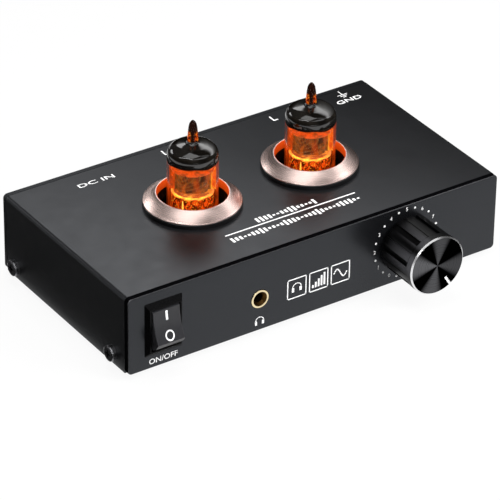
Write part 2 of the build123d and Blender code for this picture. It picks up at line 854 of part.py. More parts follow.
# Knob: a full band in front, grips with a fine line each behind it, hollow at the back.
grip_radius = knob_radius - grip_step
root_radius = knob_radius - grip_root
grip_end = knob_reach - knob_band
grip_step_angle = 360 / grip_count
pointer_turn = 90 - pointer_angle  # the pointer lies in line with a gap
screw_turn = pointer_turn + grip_step_angle
with BuildPart() as volume_knob:
    turn(
        dial,
        (
            (0, knob_gap),
            (grip_radius - knob_chamfer, knob_gap),
            (grip_radius, knob_gap + knob_chamfer),
            (grip_radius, grip_end - grip_line),
            (grip_radius - grip_line, grip_end - grip_line),
            (grip_radius - grip_line, grip_end),
            (knob_radius, grip_end),
            (knob_radius, knob_reach - knob_chamfer),
            (knob_radius - knob_chamfer, knob_reach),
            (0, knob_reach),
        ),
    )
    with BuildSketch(dial.offset(knob_gap)):
        with PolarLocations(knob_radius - grip_step, grip_count, pointer_turn):
            Rectangle(2 * (grip_root - grip_step), grip_gap)
        with PolarLocations(grip_radius, grip_count, pointer_turn + grip_step_angle / 2):
            Rectangle(2 * grip_line, grip_line)
    extrude(amount=grip_end - grip_line - knob_gap, mode=Mode.SUBTRACT)
    bore(dial.offset(knob_gap + knob_recess_depth), knob_recess_radius, knob_recess_depth)
    bore(dial.offset(shaft_end), shaft_radius + press_gap, shaft_end - knob_gap)
    with BuildSketch(dial.offset(knob_reach - pointer_depth)):
        with PolarLocations(pointer_start + knob_radius / 2, 1, pointer_turn):
            Rectangle(knob_radius, pointer_width)
    extrude(amount=2 * pointer_depth, mode=Mode.SUBTRACT)
    with Locations(dial.offset(screw_station)):
        with PolarLocations(0, 1, screw_turn):
            Cylinder(
                set_screw_radius + thread_gap,
                knob_radius,
                rotation=(0, 90, 0),
                align=(Align.CENTER, Align.CENTER, Align.MIN),
                mode=Mode.SUBTRACT,
            )
save(volume_knob, "volume_knob")

with BuildPart() as knob_set_screw:
    screw_start = shaft_radius + press_gap
    with Locations(dial.offset(screw_station)):
        with PolarLocations(0, 1, screw_turn):
            with Locations((screw_start, 0, 0)):
                Cylinder(
                    set_screw_radius,
                    root_radius - set_screw_sink - screw_start,
                    rotation=(0, 90, 0),
                    align=(Align.CENTER, Align.CENTER, Align.MIN),
                )
            with Locations((root_radius - set_screw_sink, 0, 0)):
                Cylinder(set_screw_socket, 2 * set_screw_socket_depth, rotation=(0, 90, 0), mode=Mode.SUBTRACT)
save(knob_set_screw, "knob_set_screw")

# ==== Power switch ====

panel_face = front_facing(switch_x, front_y, floor_z + switch_height)
rocker_radius = sqrt(rocker_reach**2 + rocker_half**2)
well_half = sqrt(rocker_radius**2 - (rocker_pivot + bezel_thickness - well_rim) ** 2) + rocker_gap
inner_half = rocker_radius + rocker_gap
well_width = rocker_width + 2 * rocker_side_gap
with BuildPart() as switch_housing:
    with BuildSketch(panel_face):
        RectangleRounded(bezel_width, bezel_height, bezel_round)
    with BuildSketch(panel_face.offset(bezel_thickness)):
        RectangleRounded(bezel_width - 2 * bezel_side_slope, bezel_height - 2 * bezel_end_slope, bezel_round / 2)
    loft()
    with BuildSketch(panel_face.offset(-body_depth - front_plate)):
        Rectangle(body_width, body_height)
    extrude(amount=body_depth + front_plate)
    with BuildSketch(panel_face.offset(bezel_thickness)):
        Rectangle(well_width, 2 * well_half)
    extrude(amount=-well_rim, mode=Mode.SUBTRACT)
    with BuildSketch(panel_face.offset(bezel_thickness - well_rim)):
        Rectangle(well_width, 2 * inner_half)
    extrude(amount=well_rim - well_depth, mode=Mode.SUBTRACT)
    with Locations(panel_face.offset(-rocker_pivot)):
        Cylinder(
            trunnion_radius + trunnion_fit,
            well_width + 2 * (trunnion_length + trunnion_fit),
            rotation=(0, 90, 0),
            mode=Mode.SUBTRACT,
        )
    for side in (-1, 1):
        with Locations(panel_face.offset(-front_plate - face_gap)):
            with Locations((side * (body_width + clip_reach) / 2, 0, 0)):
                Box(
                    clip_reach,
                    clip_height,
                    clip_length,
                    align=(Align.CENTER, Align.CENTER, Align.MAX),
                )
    for row in (-1, 1):
        with Locations(panel_face.offset(-front_plate - body_depth)):
            with Locations((0, row * blade_offset, 0)):
                Box(
                    blade_width + 2 * press_gap,
                    blade_thickness + 2 * press_gap,
                    2 * (blade_root + press_gap),
                    mode=Mode.SUBTRACT,
                )
save(switch_housing, "switch_housing")

# The rocker stands with its upper end pressed in. Its ends are arcs about the pivot.
lean = radians(rocker_tilt)
dish_radius = (rocker_half**2 + rocker_dish**2) / (2 * rocker_dish)
rocker_section = Plane(
    origin=(switch_x - rocker_width / 2, front_y + rocker_pivot, floor_z + switch_height),
    x_dir=(0, -cos(lean), sin(lean)),
    z_dir=(1, 0, 0),
)
with BuildPart() as switch_rocker:
    with BuildSketch(rocker_section):
        Circle(rocker_radius)
        with Locations((rocker_reach + rocker_radius, 0)):
            Rectangle(2 * rocker_radius, 2 * rocker_radius, mode=Mode.SUBTRACT)
        with Locations((rocker_reach - rocker_dish + dish_radius, 0)):
            Circle(dish_radius, mode=Mode.SUBTRACT)
        with Locations((-rocker_back - rocker_radius, 0)):
            Rectangle(2 * rocker_radius, 2 * rocker_radius, mode=Mode.SUBTRACT)
    extrude(amount=rocker_width)
    dish_edges = switch_rocker.edges().filter_by(GeomType.CIRCLE)
    fillet(dish_edges.filter_by(lambda edge: edge.radius > 1.5 * rocker_radius), rocker_edge)
    with Locations(Plane((switch_x, front_y + rocker_pivot, floor_z + switch_height))):
        Cylinder(trunnion_radius, well_width + 2 * trunnion_length, rotation=(0, 90, 0))
save(switch_rocker, "switch_rocker")

blade_plane = panel_face.offset(-front_plate - body_depth + blade_root)
with BuildPart() as switch_terminals:
    with Locations(blade_plane):
        with Locations((0, -blade_offset, 0), (0, blade_offset, 0)):
            Box(
                blade_width,
                blade_thickness,
                blade_root + blade_length,
                align=(Align.CENTER, Align.CENTER, Align.MAX),
            )
save(switch_terminals, "switch_terminals")

# Two insulated leads from the blades down to the board.
blade_end = inner_front + body_depth + blade_length
with BuildPart() as switch_wires:
    for row, run in zip((-1, 1), wire_runs):
        height = floor_z + switch_height + row * blade_offset
        start = (switch_x, blade_end, height)
        corner = (switch_x, blade_end + run, height)
        with BuildLine() as route:
            FilletPolyline(start, corner, (switch_x, blade_end + run, board_top), radius=wire_bend)
        with BuildSketch(rear_facing(*start)) as core:
            Circle(wire_radius)
        sweep(core.sketch, path=route.line)
save(switch_wires, "switch_wires")

# ==== Headphone jack ====

jack_front = front_facing(jack_x, front_y, floor_z + jack_height)
jack_back = jack_front.offset(-front_plate - jack_depth)
jack_low = board_top - (floor_z + jack_height)
with BuildPart() as headphone_jack:
    with BuildSketch(jack_back):
        with Locations((0, jack_low + jack_block_height / 2)):
            Rectangle(jack_width, jack_block_height)
    extrude(amount=jack_depth)
    bore(jack_front.offset(-front_plate), sleeve_radius + press_gap, sleeve_root)
    bore(jack_front.offset(-front_plate), phone_bore, phone_bore_depth)
save(headphone_jack, "headphone_jack")

with BuildPart() as headphone_sleeve:
    turn(
        jack_front,
        (
            (phone_bore, -front_plate - sleeve_root),
            (sleeve_radius, -front_plate - sleeve_root),
            (sleeve_radius, sleeve_proud - 0.1),
            (sleeve_radius - 0.1, sleeve_proud),
            (sleeve_mouth, sleeve_proud),
            (phone_bore, sleeve_proud - sleeve_funnel),
        ),
    )
save(headphone_sleeve, "headphone_sleeve")

# ==== Phono sockets ====

for name, x in phono_pairs:
    jack_axes = (x - phono_pitch / 2, x + phono_pitch / 2)
    with BuildPart() as jack_block:
        with BuildSketch(front_facing(x, inner_rear, phono_z)):
            with Locations((0, (block_top + board_top - phono_z) / 2)):
                Rectangle(phono_pitch + 2 * block_margin, block_top - (board_top - phono_z))
        extrude(amount=block_depth)
        for jack_axis in jack_axes:
            stub(rear_facing(jack_axis, inner_rear, phono_z), boss_radius, rear_plate + boss_proud)
            bore(rear_facing(jack_axis, rear_y + boss_proud, phono_z), shell_root_radius + press_gap, boss_proud + shell_root)
    save(jack_block, f"{name}_jack_block")

jack_spots = [x + side * phono_pitch / 2 for name, x in phono_pairs for side in (-1, 1)]
insert_radius = shell_radius - shell_wall - press_gap
contact_radius_outer = contact_bore + contact_wall
with BuildPart() as jack_shells:
    for x in jack_spots:
        turn(
            rear_facing(x, rear_y, phono_z),
            (
                (shell_radius - shell_wall, -shell_root),
                (shell_root_radius, -shell_root),
                (shell_root_radius, boss_proud + shell_shoulder),
                (shell_radius, boss_proud + shell_shoulder),
                (shell_radius, shell_reach - shell_lip_reach),
                (shell_radius - shell_lip, shell_reach),
                (shell_radius - shell_wall, shell_reach),
            ),
        )
save(jack_shells, "jack_shells")

for side, shift in (("left", -phono_pitch / 2), ("right", phono_pitch / 2)):
    with BuildPart() as jack_inserts:
        for name, x in phono_pairs:
            turn(
                rear_facing(x + shift, rear_y, phono_z),
                (
                    (contact_radius_outer + press_gap, -shell_root),
                    (insert_radius, -shell_root),
                    (insert_radius, shell_reach - insert_recess),
                    (contact_radius_outer + press_gap, shell_reach - insert_recess),
                ),
            )
    save(jack_inserts, f"{side}_jack_inserts")

with BuildPart() as jack_contacts:
    for x in jack_spots:
        turn(
            rear_facing(x, rear_y, phono_z),
            (
                (contact_bore, -shell_root),
                (contact_radius_outer, -shell_root),
                (contact_radius_outer, shell_reach - contact_recess),
                (contact_bore, shell_reach - contact_recess),
            ),
        )
save(jack_contacts, "jack_contacts")

# ==== Power inlet ====

inlet_face = rear_facing(inlet_x, rear_y, floor_z + inlet_height)
inlet_low = board_top - (floor_z + inlet_height)
inlet_floor = inlet_nose_proud - inlet_bore_depth
with BuildPart() as dc_jack:
    with BuildSketch(inlet_face.offset(-rear_plate - inlet_depth)):
        with Locations((0, (inlet_low + inlet_width / 2) / 2)):
            Rectangle(inlet_width, inlet_width / 2 - inlet_low)
    extrude(amount=inlet_depth)
    stub(inlet_face.offset(-rear_plate), inlet_nose, rear_plate + inlet_nose_proud)
    bore(inlet_face.offset(inlet_nose_proud), inlet_bore, inlet_bore_depth)
    bore(inlet_face.offset(inlet_floor), inlet_pin_radius + press_gap, inlet_pin_root)
save(dc_jack, "dc_jack")

with BuildPart() as dc_jack_pin:
    turn(
        inlet_face,
        (
            (0, inlet_floor - inlet_pin_root),
            (inlet_pin_radius, inlet_floor - inlet_pin_root),
            (inlet_pin_radius, -1.0),
            (inlet_pin_radius * 0.7, -0.5),
            (0, -0.5),
        ),
    )
save(dc_jack_pin, "dc_jack_pin")

# ==== Ground post ====

post_face = rear_facing(post_x, rear_y, floor_z + post_height)
washer_low = post_collar_height + face_gap
nut_low = washer_low + post_washer_thickness + face_gap
with BuildPart() as ground_post:
    turn(
        post_face,
        (
            (0, -rear_plate - post_tail),
            (post_radius, -rear_plate - post_tail),
            (post_radius, 0),
            (post_collar, 0),
            (post_collar, post_collar_height),
            (post_radius, post_collar_height),
            (post_radius, post_reach - 0.5),
            (post_radius - 0.5, post_reach),
            (0, post_reach),
        ),
    )
save(ground_post, "ground_post")

with BuildPart() as ground_lock_nut:
    inside_face = front_facing(post_x, inner_rear, floor_z + post_height)
    hexagon(inside_face, lock_nut_flats, lock_nut_height, post_radius + thread_gap)
save(ground_lock_nut, "ground_lock_nut")

with BuildPart() as ground_washer:
    with BuildSketch(post_face.offset(washer_low)):
        Circle(post_washer_radius)
        Circle(post_radius + thumb_nut_fit, mode=Mode.SUBTRACT)
    extrude(amount=post_washer_thickness)
save(ground_washer, "ground_washer")

# Fluted thumb nut with a plain collar towards the washer.
with BuildPart() as ground_nut:
    turn(
        post_face.offset(nut_low),
        (
            (post_radius + thumb_nut_fit, 0),
            (thumb_nut_radius - 0.7, 0),
            (thumb_nut_radius - 0.7, 1.0),
            (thumb_nut_radius, 1.4),
            (thumb_nut_radius, thumb_nut_length - 0.5),
            (thumb_nut_radius - 0.5, thumb_nut_length),
            (post_radius + thumb_nut_fit, thumb_nut_length),
        ),
    )
    with Locations(post_face.offset(nut_low + thumb_nut_length)):
        with PolarLocations(thumb_nut_radius + flute_radius * 0.35, flute_count):
            Cylinder(
                flute_radius,
                thumb_nut_length - 1.2,
                align=(Align.CENTER, Align.CENTER, Align.MAX),
                mode=Mode.SUBTRACT,
            )
save(ground_nut, "ground_nut")
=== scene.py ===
import json
from math import cos, pi, radians, sin

import bmesh
import bpy
from mathutils import Matrix, Vector
from mathutils.bvhtree import BVHTree

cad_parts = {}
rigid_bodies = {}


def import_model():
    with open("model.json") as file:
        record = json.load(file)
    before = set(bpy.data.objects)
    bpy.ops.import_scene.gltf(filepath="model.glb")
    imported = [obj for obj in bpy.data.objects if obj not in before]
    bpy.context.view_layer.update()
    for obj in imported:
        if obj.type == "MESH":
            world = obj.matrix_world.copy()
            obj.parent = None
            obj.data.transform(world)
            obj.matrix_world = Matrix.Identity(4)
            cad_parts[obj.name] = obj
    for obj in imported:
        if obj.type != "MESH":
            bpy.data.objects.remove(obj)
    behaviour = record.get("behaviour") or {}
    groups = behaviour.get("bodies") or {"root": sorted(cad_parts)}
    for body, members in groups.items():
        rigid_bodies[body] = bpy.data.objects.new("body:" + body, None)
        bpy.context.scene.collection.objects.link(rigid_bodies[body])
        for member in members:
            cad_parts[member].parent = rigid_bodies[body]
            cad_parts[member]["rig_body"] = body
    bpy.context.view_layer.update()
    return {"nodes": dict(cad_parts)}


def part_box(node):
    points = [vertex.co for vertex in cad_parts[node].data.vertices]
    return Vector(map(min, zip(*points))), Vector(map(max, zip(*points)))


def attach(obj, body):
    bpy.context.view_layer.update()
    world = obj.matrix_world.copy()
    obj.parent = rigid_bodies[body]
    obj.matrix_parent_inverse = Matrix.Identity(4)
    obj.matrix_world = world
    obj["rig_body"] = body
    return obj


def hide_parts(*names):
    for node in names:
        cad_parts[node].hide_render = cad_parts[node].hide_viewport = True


bl_info = {
    "name": "Valve phono preamp",
    "version": (1, 0, 0),
    "blender": (4, 5, 0),
    "location": "View3D > Sidebar > Preamp",
    "description": "Finishes, valves, knob, switch, printing and stage of a small valve phono preamp",
    "category": "Object",
}

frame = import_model()

# Sizes below are in millimetres; MM turns them into Blender's metres.
MM = 0.001
FULL_TURN = 2 * pi
SIDES = ("left", "right")
SEAM = 1e-4  # points of a read mesh that lie closer are one
TINY = 1e-5  # the same for shapes made here


def corners(node):
    """Lowest and highest corner of a CAD piece, in millimetres."""
    low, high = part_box(node)
    return low / MM, high / MM


def middle(node):
    """Middle of a CAD piece's box, in millimetres."""
    low, high = corners(node)
    return (low + high) / 2


COVER_TOP = corners("top_cover")[1].z
FRONT = corners("front_panel")[0].y
REAR = corners("rear_panel")[1].y
CASE_LOW = corners("front_panel")[0].z
HALF_CASE = corners("front_panel")[1].x
DIAL = middle("volume_knob")

# The anodes stand turned in their valves; ACROSS runs along their broad flank.
ANODE_TURN = radians(-34)
ACROSS = Vector((cos(ANODE_TURN), sin(ANODE_TURN), 0))

# Colours that more than one finish uses.
COOL_SHEEN = (0.86, 0.91, 1.0)
CUT_METAL = (0.13, 0.13, 0.137)
FILM_BLACK = (0.003, 0.0025, 0.002)


# ---- Finishes

class Nodes:
    """Short ways to wire a node tree."""

    def __init__(self, tree):
        self.tree = tree

    def add(self, kind):
        """A new node."""
        return self.tree.nodes.new(kind)

    def join(self, value, socket):
        """Links a node's output to a socket, or sets the socket to a plain value or colour."""
        if isinstance(value, bpy.types.NodeSocket):
            self.tree.links.new(value, socket)
        elif socket.type == "RGBA":
            socket.default_value = (*value, 1)
        else:
            socket.default_value = value

    def feed(self, node, inputs, output=0):
        """Links or sets inputs by name or number, and hands back one output."""
        for key, value in inputs.items():
            self.join(value, node.inputs[key])
        return node.outputs[output]

    def maths(self, operation, first, *others):
        """Arithmetic on one or more values, worked from the left."""
        for other in others or (0.0,):
            node = self.add("ShaderNodeMath")
            node.operation = operation
            first = self.feed(node, {0: first, 1: other})
        return first

    def span(self, value, start, end, low=0.0, high=1.0, smooth=False):
        """Maps start..end to low..high and holds it there."""
        node = self.add("ShaderNodeMapRange")
        node.interpolation_type = "SMOOTHSTEP" if smooth else "LINEAR"
        return self.feed(node, {"Value": value, "From Min": start, "From Max": end, "To Min": low, "To Max": high})

    def vary(self, noise, low=0.0, high=1.0):
        """Spreads the usual range of a noise over low..high."""
        return self.span(noise, 0.3, 0.7, low, high)


class Finish(Nodes):
    """A material built on one Principled shader, patterned in the piece's own place."""

    def __init__(self, name, centre=(0, 0, 0)):
        self.material = bpy.data.materials.new(name)
        self.material.use_nodes = True
        super().__init__(self.material.node_tree)
        self.shader = self.tree.nodes["Principled BSDF"]
        place = self.add("ShaderNodeTexCoord").outputs["Object"]
        mapping = self.add("ShaderNodeMapping")
        mapping.vector_type = "TEXTURE"
        self.place = self.feed(mapping, {"Vector": place, "Location": Vector(centre) * MM})

    def set(self, **values):
        """Sets shader sockets: base_color=..., roughness=... and so on."""
        for key, value in values.items():
            title = " ".join(word.upper() if word == "ior" else word.capitalize() for word in key.split("_"))
            self.join(value, self.shader.inputs[title])
        return self

    def noise(self, size, detail=3.0, stretch=None, distortion=0.0):
        """Fractal noise with features of this size in millimetres."""
        place = self.place
        if stretch:
            place = self.feed(self.add("ShaderNodeMapping"), {"Vector": place, "Scale": stretch})
        return self.feed(self.add("ShaderNodeTexNoise"), {
            "Vector": place, "Scale": 1 / (size * MM), "Detail": detail, "Distortion": distortion}, "Fac")

    def lathe_marks(self, radius, per_metre):
        """Noise that follows the distance from an axis alone, with this many marks to the metre."""
        node = self.add("ShaderNodeTexNoise")
        node.noise_dimensions = "1D"
        return self.feed(node, {"W": radius, "Scale": per_metre}, "Fac")

    def cells(self, size):
        """Distance to scattered points, about this far apart in millimetres."""
        return self.feed(self.add("ShaderNodeTexVoronoi"), {"Vector": self.place, "Scale": 1 / (size * MM)}, "Distance")

    def axes(self):
        """X, Y and Z of the place, in metres."""
        node = self.add("ShaderNodeSeparateXYZ")
        self.feed(node, {"Vector": self.place})
        return node.outputs["X"], node.outputs["Y"], node.outputs["Z"]

    def along(self, direction):
        """Distance from the centre in one direction, in metres."""
        node = self.add("ShaderNodeVectorMath")
        node.operation = "DOT_PRODUCT"
        return self.feed(node, {0: self.place, 1: direction}, "Value")

    def from_axis(self, axis):
        """Distance from the X, Y or Z axis through the centre, in metres."""
        squares = [self.maths("MULTIPLY", value, value) for name, value in zip("XYZ", self.axes()) if name != axis]
        return self.maths("SQRT", self.maths("ADD", *squares))

    def fans(self, angle, headings):
        """Soft fans of painted highlight round an axis, each with its heading and half width in degrees and its share.
        """
        fans = []
        for heading, width, share in headings:
            turn = self.maths("COSINE", self.maths("SUBTRACT", angle, radians(heading)))
            fans.append(self.maths("MULTIPLY", self.span(turn, cos(radians(width)), 1, smooth=True), share))
        return self.maths("ADD", *fans)

    def blend(self, first, second, share):
        """Mixes two colours."""
        node = self.add("ShaderNodeMix")
        node.data_type = "RGBA"
        return self.feed(node, {0: share, 6: first, 7: second}, 2)

    def bump(self, height, depth, strength=1.0):
        """Relief of this depth in millimetres."""
        return self.feed(self.add("ShaderNodeBump"), {"Height": height, "Distance": depth * MM, "Strength": strength})

    def brush_round(self, axis):
        """Lets the gloss stretch round an axis, as turned metal does."""
        around = self.add("ShaderNodeTangent")
        around.direction_type = "RADIAL"
        around.axis = axis
        return self.set(tangent=around.outputs["Tangent"])


def shaded(colour, share):
    """A colour made darker or lighter."""
    return tuple(min(1.0, level * share) for level in colour)


def plain_finish(name, colour, roughness, metallic=0.0, specular=0.5, patch=4.0, shade=0.12,
                 grain=0.25, relief=0.004, spread=0.08, stretch=None, centre=(0, 0, 0), **rest):
    """A finish whose colour, gloss and surface vary a little from place to place."""
    finish = Finish(name, centre)
    broad = finish.vary(finish.noise(patch, 4, stretch))
    fine = finish.noise(grain, 3, stretch)
    return finish.set(
        base_color=finish.blend(shaded(colour, 1 - shade), shaded(colour, 1 + shade), broad),
        roughness=finish.span(fine, 0.25, 0.75, max(0.02, roughness - spread), min(1.0, roughness + spread)),
        metallic=metallic,
        specular_ior_level=specular,
        normal=finish.bump(fine, relief),
        **rest,
    )


def paint(name, colour, roughness, specular, cloud=30, shade=0.12, sheen=(6, 4), spread=0.03, peel=(0.22, 4)):
    """Stoved paint with a fine orange peel; sheen and peel hold a noise's size and detail."""
    finish = Finish(name)
    return finish.set(
        base_color=finish.blend(
            shaded(colour, 1 - shade), shaded(colour, 1 + shade), finish.vary(finish.noise(cloud))),
        roughness=finish.vary(finish.noise(*sheen), roughness - spread, roughness + spread),
        specular_ior_level=specular,
        specular_tint=COOL_SHEEN,
        normal=finish.bump(finish.noise(*peel), 0.004, 0.6),
    )


def ink_finish(name):
    """White ink, slightly uneven."""
    return plain_finish(
        name, case().print_colour, 0.55, specular=0.3, patch=0.8, shade=0.03, grain=0.1, relief=0.002)


def dress(nodes, finish):
    """Gives CAD pieces a finish."""
    for name in nodes:
        materials = frame["nodes"][name].data.materials
        if not materials:
            materials.append(finish.material)
        for i in range(len(materials)):
            materials[i] = finish.material


def both(part):
    """Names of the left and the right valve's piece."""
    return [f"{side}_{part}" for side in SIDES]


# ---- Shapes

def turned(points, steps=96, soft=(), segments=4):
    """A turned body from its half section of (radius, height) points; soft holds (point, distance) corners to round."""
    bm = bmesh.new()
    verts = [bm.verts.new((r, 0, z)) for r, z in points]
    bm.faces.new(verts)
    for index, distance in soft:
        bmesh.ops.bevel(
            bm, geom=[verts[index]], offset=distance, offset_type="OFFSET", segments=segments,
            profile=0.5, affect="VERTICES", clamp_overlap=True, material=-1,
        )
    bmesh.ops.delete(bm, geom=list(bm.faces), context="FACES_ONLY")
    on_axis = [e for e in bm.edges if all(v.co.x < TINY for v in e.verts)]
    bmesh.ops.delete(bm, geom=on_axis, context="EDGES")
    bmesh.ops.spin(
        bm, geom=list(bm.verts) + list(bm.edges), cent=(0, 0, 0), axis=(0, 0, 1), dvec=(0, 0, 0),
        angle=FULL_TURN, steps=steps, use_merge=True, use_normal_flip=False, use_duplicate=False,
    )
    bmesh.ops.remove_doubles(bm, verts=bm.verts, dist=TINY)
    if bm.calc_volume(signed=True) < 0:
        bmesh.ops.reverse_faces(bm, faces=bm.faces)
    return bm


def tube(outer, inner, low, high, steps=96, soft=(), segments=2):
    """A round tube about the Z axis."""
    return turned(((inner, low), (outer, low), (outer, high), (inner, high)), steps, soft, segments)


def block(size, centre=(0, 0, 0), edge=0.0):
    """A block, its edges broken where edge is given."""
    bm = bmesh.new()
    bmesh.ops.create_cube(bm, size=1, matrix=Matrix.Translation(centre) @ Matrix.Diagonal((*size, 1)))
    if edge:
        bmesh.ops.bevel(
            bm, geom=list(bm.edges), offset=edge, offset_type="OFFSET", segments=1,
            profile=0.5, affect="EDGES", clamp_overlap=True, material=-1,
        )
    return bm


def placed(bm, matrix):
    """Moves a shape."""
    bmesh.ops.transform(bm, matrix=matrix, verts=bm.verts)
    return bm


def stood(bm, centre):
    """Moves a turned shape onto the upright axis through this point."""
    return placed(bm, Matrix.Translation((centre.x, centre.y, 0)))


def gathered(shapes):
    """Joins shapes into one bmesh."""
    whole = bmesh.new()
    for bm in shapes:
        mesh = bpy.data.meshes.new("part")
        bm.to_mesh(mesh)
        bm.free()
        whole.from_mesh(mesh)
        bpy.data.meshes.remove(mesh)
    return whole


def copied(node, merge_flats=False):
    """The shape of a CAD piece in millimetres, its seams closed."""
    bm = bmesh.new()
    bm.from_mesh(frame["nodes"][node].data)
    bmesh.ops.scale(bm, vec=(1 / MM,) * 3, verts=bm.verts)
    bmesh.ops.remove_doubles(bm, verts=bm.verts, dist=SEAM)
    for face in bm.faces:
        face.material_index = 0
    if merge_flats:
        bmesh.ops.dissolve_limit(
            bm, angle_limit=radians(1), verts=bm.verts, edges=bm.edges, delimit={"NORMAL"},
            use_dissolve_boundaries=False)
    return bm


def thickened(bm, vec):
    """Gives a sheet its thickness, faces outwards."""
    grown = bmesh.ops.extrude_face_region(bm, geom=list(bm.faces))
    bmesh.ops.translate(bm, vec=vec, verts=[v for v in grown["geom"] if isinstance(v, bmesh.types.BMVert)])
    bmesh.ops.recalc_face_normals(bm, faces=bm.faces)
    return bm


def on_front(x, z, lift=0.0):
    """Places a flat shape on the front plate, drawn as seen from the front."""
    return Matrix.Translation((x, FRONT - lift, z)) @ Matrix.Rotation(pi / 2, 4, "X")


def on_rear(x, z):
    """Places a flat shape on the rear plate, drawn as seen from behind."""
    return Matrix.Translation((x, REAR, z)) @ Matrix.Rotation(pi, 4, "Z") @ Matrix.Rotation(pi / 2, 4, "X")


def on_top(x, y):
    """Places a flat shape on the cover, drawn as seen from the front."""
    return Matrix.Translation((x, y, COVER_TOP))


def lettering(text, height, width=None, bold=0.1):
    """Printed lettering of this height in millimetres, centred on the origin."""
    curve = bpy.data.curves.new("lettering", "FONT")
    curve.body = text
    curve.size = 10
    curve.offset = bold
    curve.resolution_u = 4
    holder = bpy.data.objects.new("lettering", curve)
    bpy.context.scene.collection.objects.link(holder)
    bpy.context.view_layer.update()
    mesh = bpy.data.meshes.new_from_object(holder.evaluated_get(bpy.context.evaluated_depsgraph_get()))
    bpy.data.objects.remove(holder)
    bpy.data.curves.remove(curve)
    bm = bmesh.new()
    bm.from_mesh(mesh)
    bpy.data.meshes.remove(mesh)
    bmesh.ops.remove_doubles(bm, verts=bm.verts, dist=SEAM)
    low, high = (Vector((end(v.co.x for v in bm.verts), end(v.co.y for v in bm.verts), 0)) for end in (min, max))
    bmesh.ops.translate(bm, vec=-(low + high) / 2, verts=bm.verts)
    rise = height / (high.y - low.y)
    run = width / (high.x - low.x) if width else rise
    bmesh.ops.scale(bm, vec=(run, rise, 1), verts=bm.verts)
    return thickened(bm, (0, 0, case().ink))


def finished(name, bm, finishes, like, crease=35.0, replaces=()):
    """Makes the piece from its shape in millimetres; it rides with the CAD piece named by like."""
    bmesh.ops.scale(bm, vec=(MM,) * 3, verts=bm.verts)
    limit = radians(crease)
    for edge in bm.edges:
        edge.smooth = len(edge.link_faces) == 2 and edge.calc_face_angle(pi) < limit
    for face in bm.faces:
        face.smooth = True
    mesh = bpy.data.meshes.new(name)
    bm.to_mesh(mesh)
    bm.free()
    for finish in finishes:
        mesh.materials.append(finish.material)
    piece = bpy.data.objects.new(name, mesh)
    bpy.context.scene.collection.objects.link(piece)
    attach(piece, frame["nodes"][like]["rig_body"])
    if replaces:
        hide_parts(*replaces)
    return piece


# ---- What a user can change

COLOUR = {"subtype": "COLOR", "size": 3, "min": 0, "max": 1}


class CaseSettings(bpy.types.PropertyGroup):
    """Paint and printing of the case."""

    cover_colour: bpy.props.FloatVectorProperty(
        name="Cover", description="Paint of the cover and the tray", default=(0.0052, 0.0052, 0.0056), **COLOUR)
    plate_colour: bpy.props.FloatVectorProperty(
        name="Plates", description="Paint of the front and rear plates", default=(0.0052, 0.0054, 0.0062), **COLOUR)
    print_colour: bpy.props.FloatVectorProperty(
        name="Printing", description="Ink of the printing", default=(0.9, 0.9, 0.9), **COLOUR)
    ink: bpy.props.FloatProperty(
        name="Ink", description="Thickness of the ink in millimetres", default=0.03, min=0.01, max=0.2)


class ValveSettings(bpy.types.PropertyGroup):
    """Glow of the valves and finish of their rings."""

    glow_colour: bpy.props.FloatVectorProperty(
        name="Glow", description="Light round the valve's inside", default=(0.92, 0.082, 0.004), **COLOUR)
    flame_colour: bpy.props.FloatVectorProperty(
        name="Flame", description="Brightest light low in the valve", default=(1.0, 0.43, 0.03), **COLOUR)
    glow: bpy.props.FloatProperty(
        name="Glow strength", description="Strength of the glow; 0 is switched off", default=1.0, min=0, max=5)
    film_height: bpy.props.FloatProperty(
        name="Film edge", description="Lower edge of the dark film above the cover, in millimetres",
        default=18.2, min=10, max=24)
    ring_colour: bpy.props.FloatVectorProperty(
        name="Rings", description="Metal of the trim rings", default=(0.93, 0.71, 0.65), **COLOUR)


class ControlSettings(bpy.types.PropertyGroup):
    """Knob and dial."""

    knob_colour: bpy.props.FloatVectorProperty(
        name="Knob", description="Anodised colour of the knob", default=(0.0045, 0.0045, 0.0049), **COLOUR)
    dial_radius: bpy.props.FloatProperty(
        name="Dial radius", description="Circle of the dial's numbers, in millimetres", default=13.3, min=12, max=15)
    number_height: bpy.props.FloatProperty(
        name="Number height", description="Height of the dial's numbers, in millimetres", default=1.4, min=0.8, max=3)


class StageSettings(bpy.types.PropertyGroup):
    """Camera and light."""

    lens: bpy.props.FloatProperty(
        name="Lens", description="Focal length on a 36 mm sensor", default=261.2, min=20, max=400)
    azimuth: bpy.props.FloatProperty(
        name="Azimuth", description="Camera's turn from straight ahead towards the left side",
        subtype="ANGLE", default=radians(34.061))
    elevation: bpy.props.FloatProperty(
        name="Elevation", description="Camera's height as an angle", subtype="ANGLE", default=radians(31.786))
    roll: bpy.props.FloatProperty(
        name="Roll", description="Camera's roll", subtype="ANGLE", default=radians(0.791))
    fill: bpy.props.FloatProperty(
        name="Fill", description="Light from all round", default=0.16, min=0, max=1)
    room: bpy.props.FloatProperty(
        name="Room", description="Brightness of the room as gloss shows it", default=0.06, min=0, max=1)


def case():
    """Settings of the case."""
    return bpy.context.scene.preamp_case


def valve():
    """Settings of the valves."""
    return bpy.context.scene.preamp_valve


def controls():
    """Settings of the knob and the dial."""
    return bpy.context.scene.preamp_controls


# ---- Case

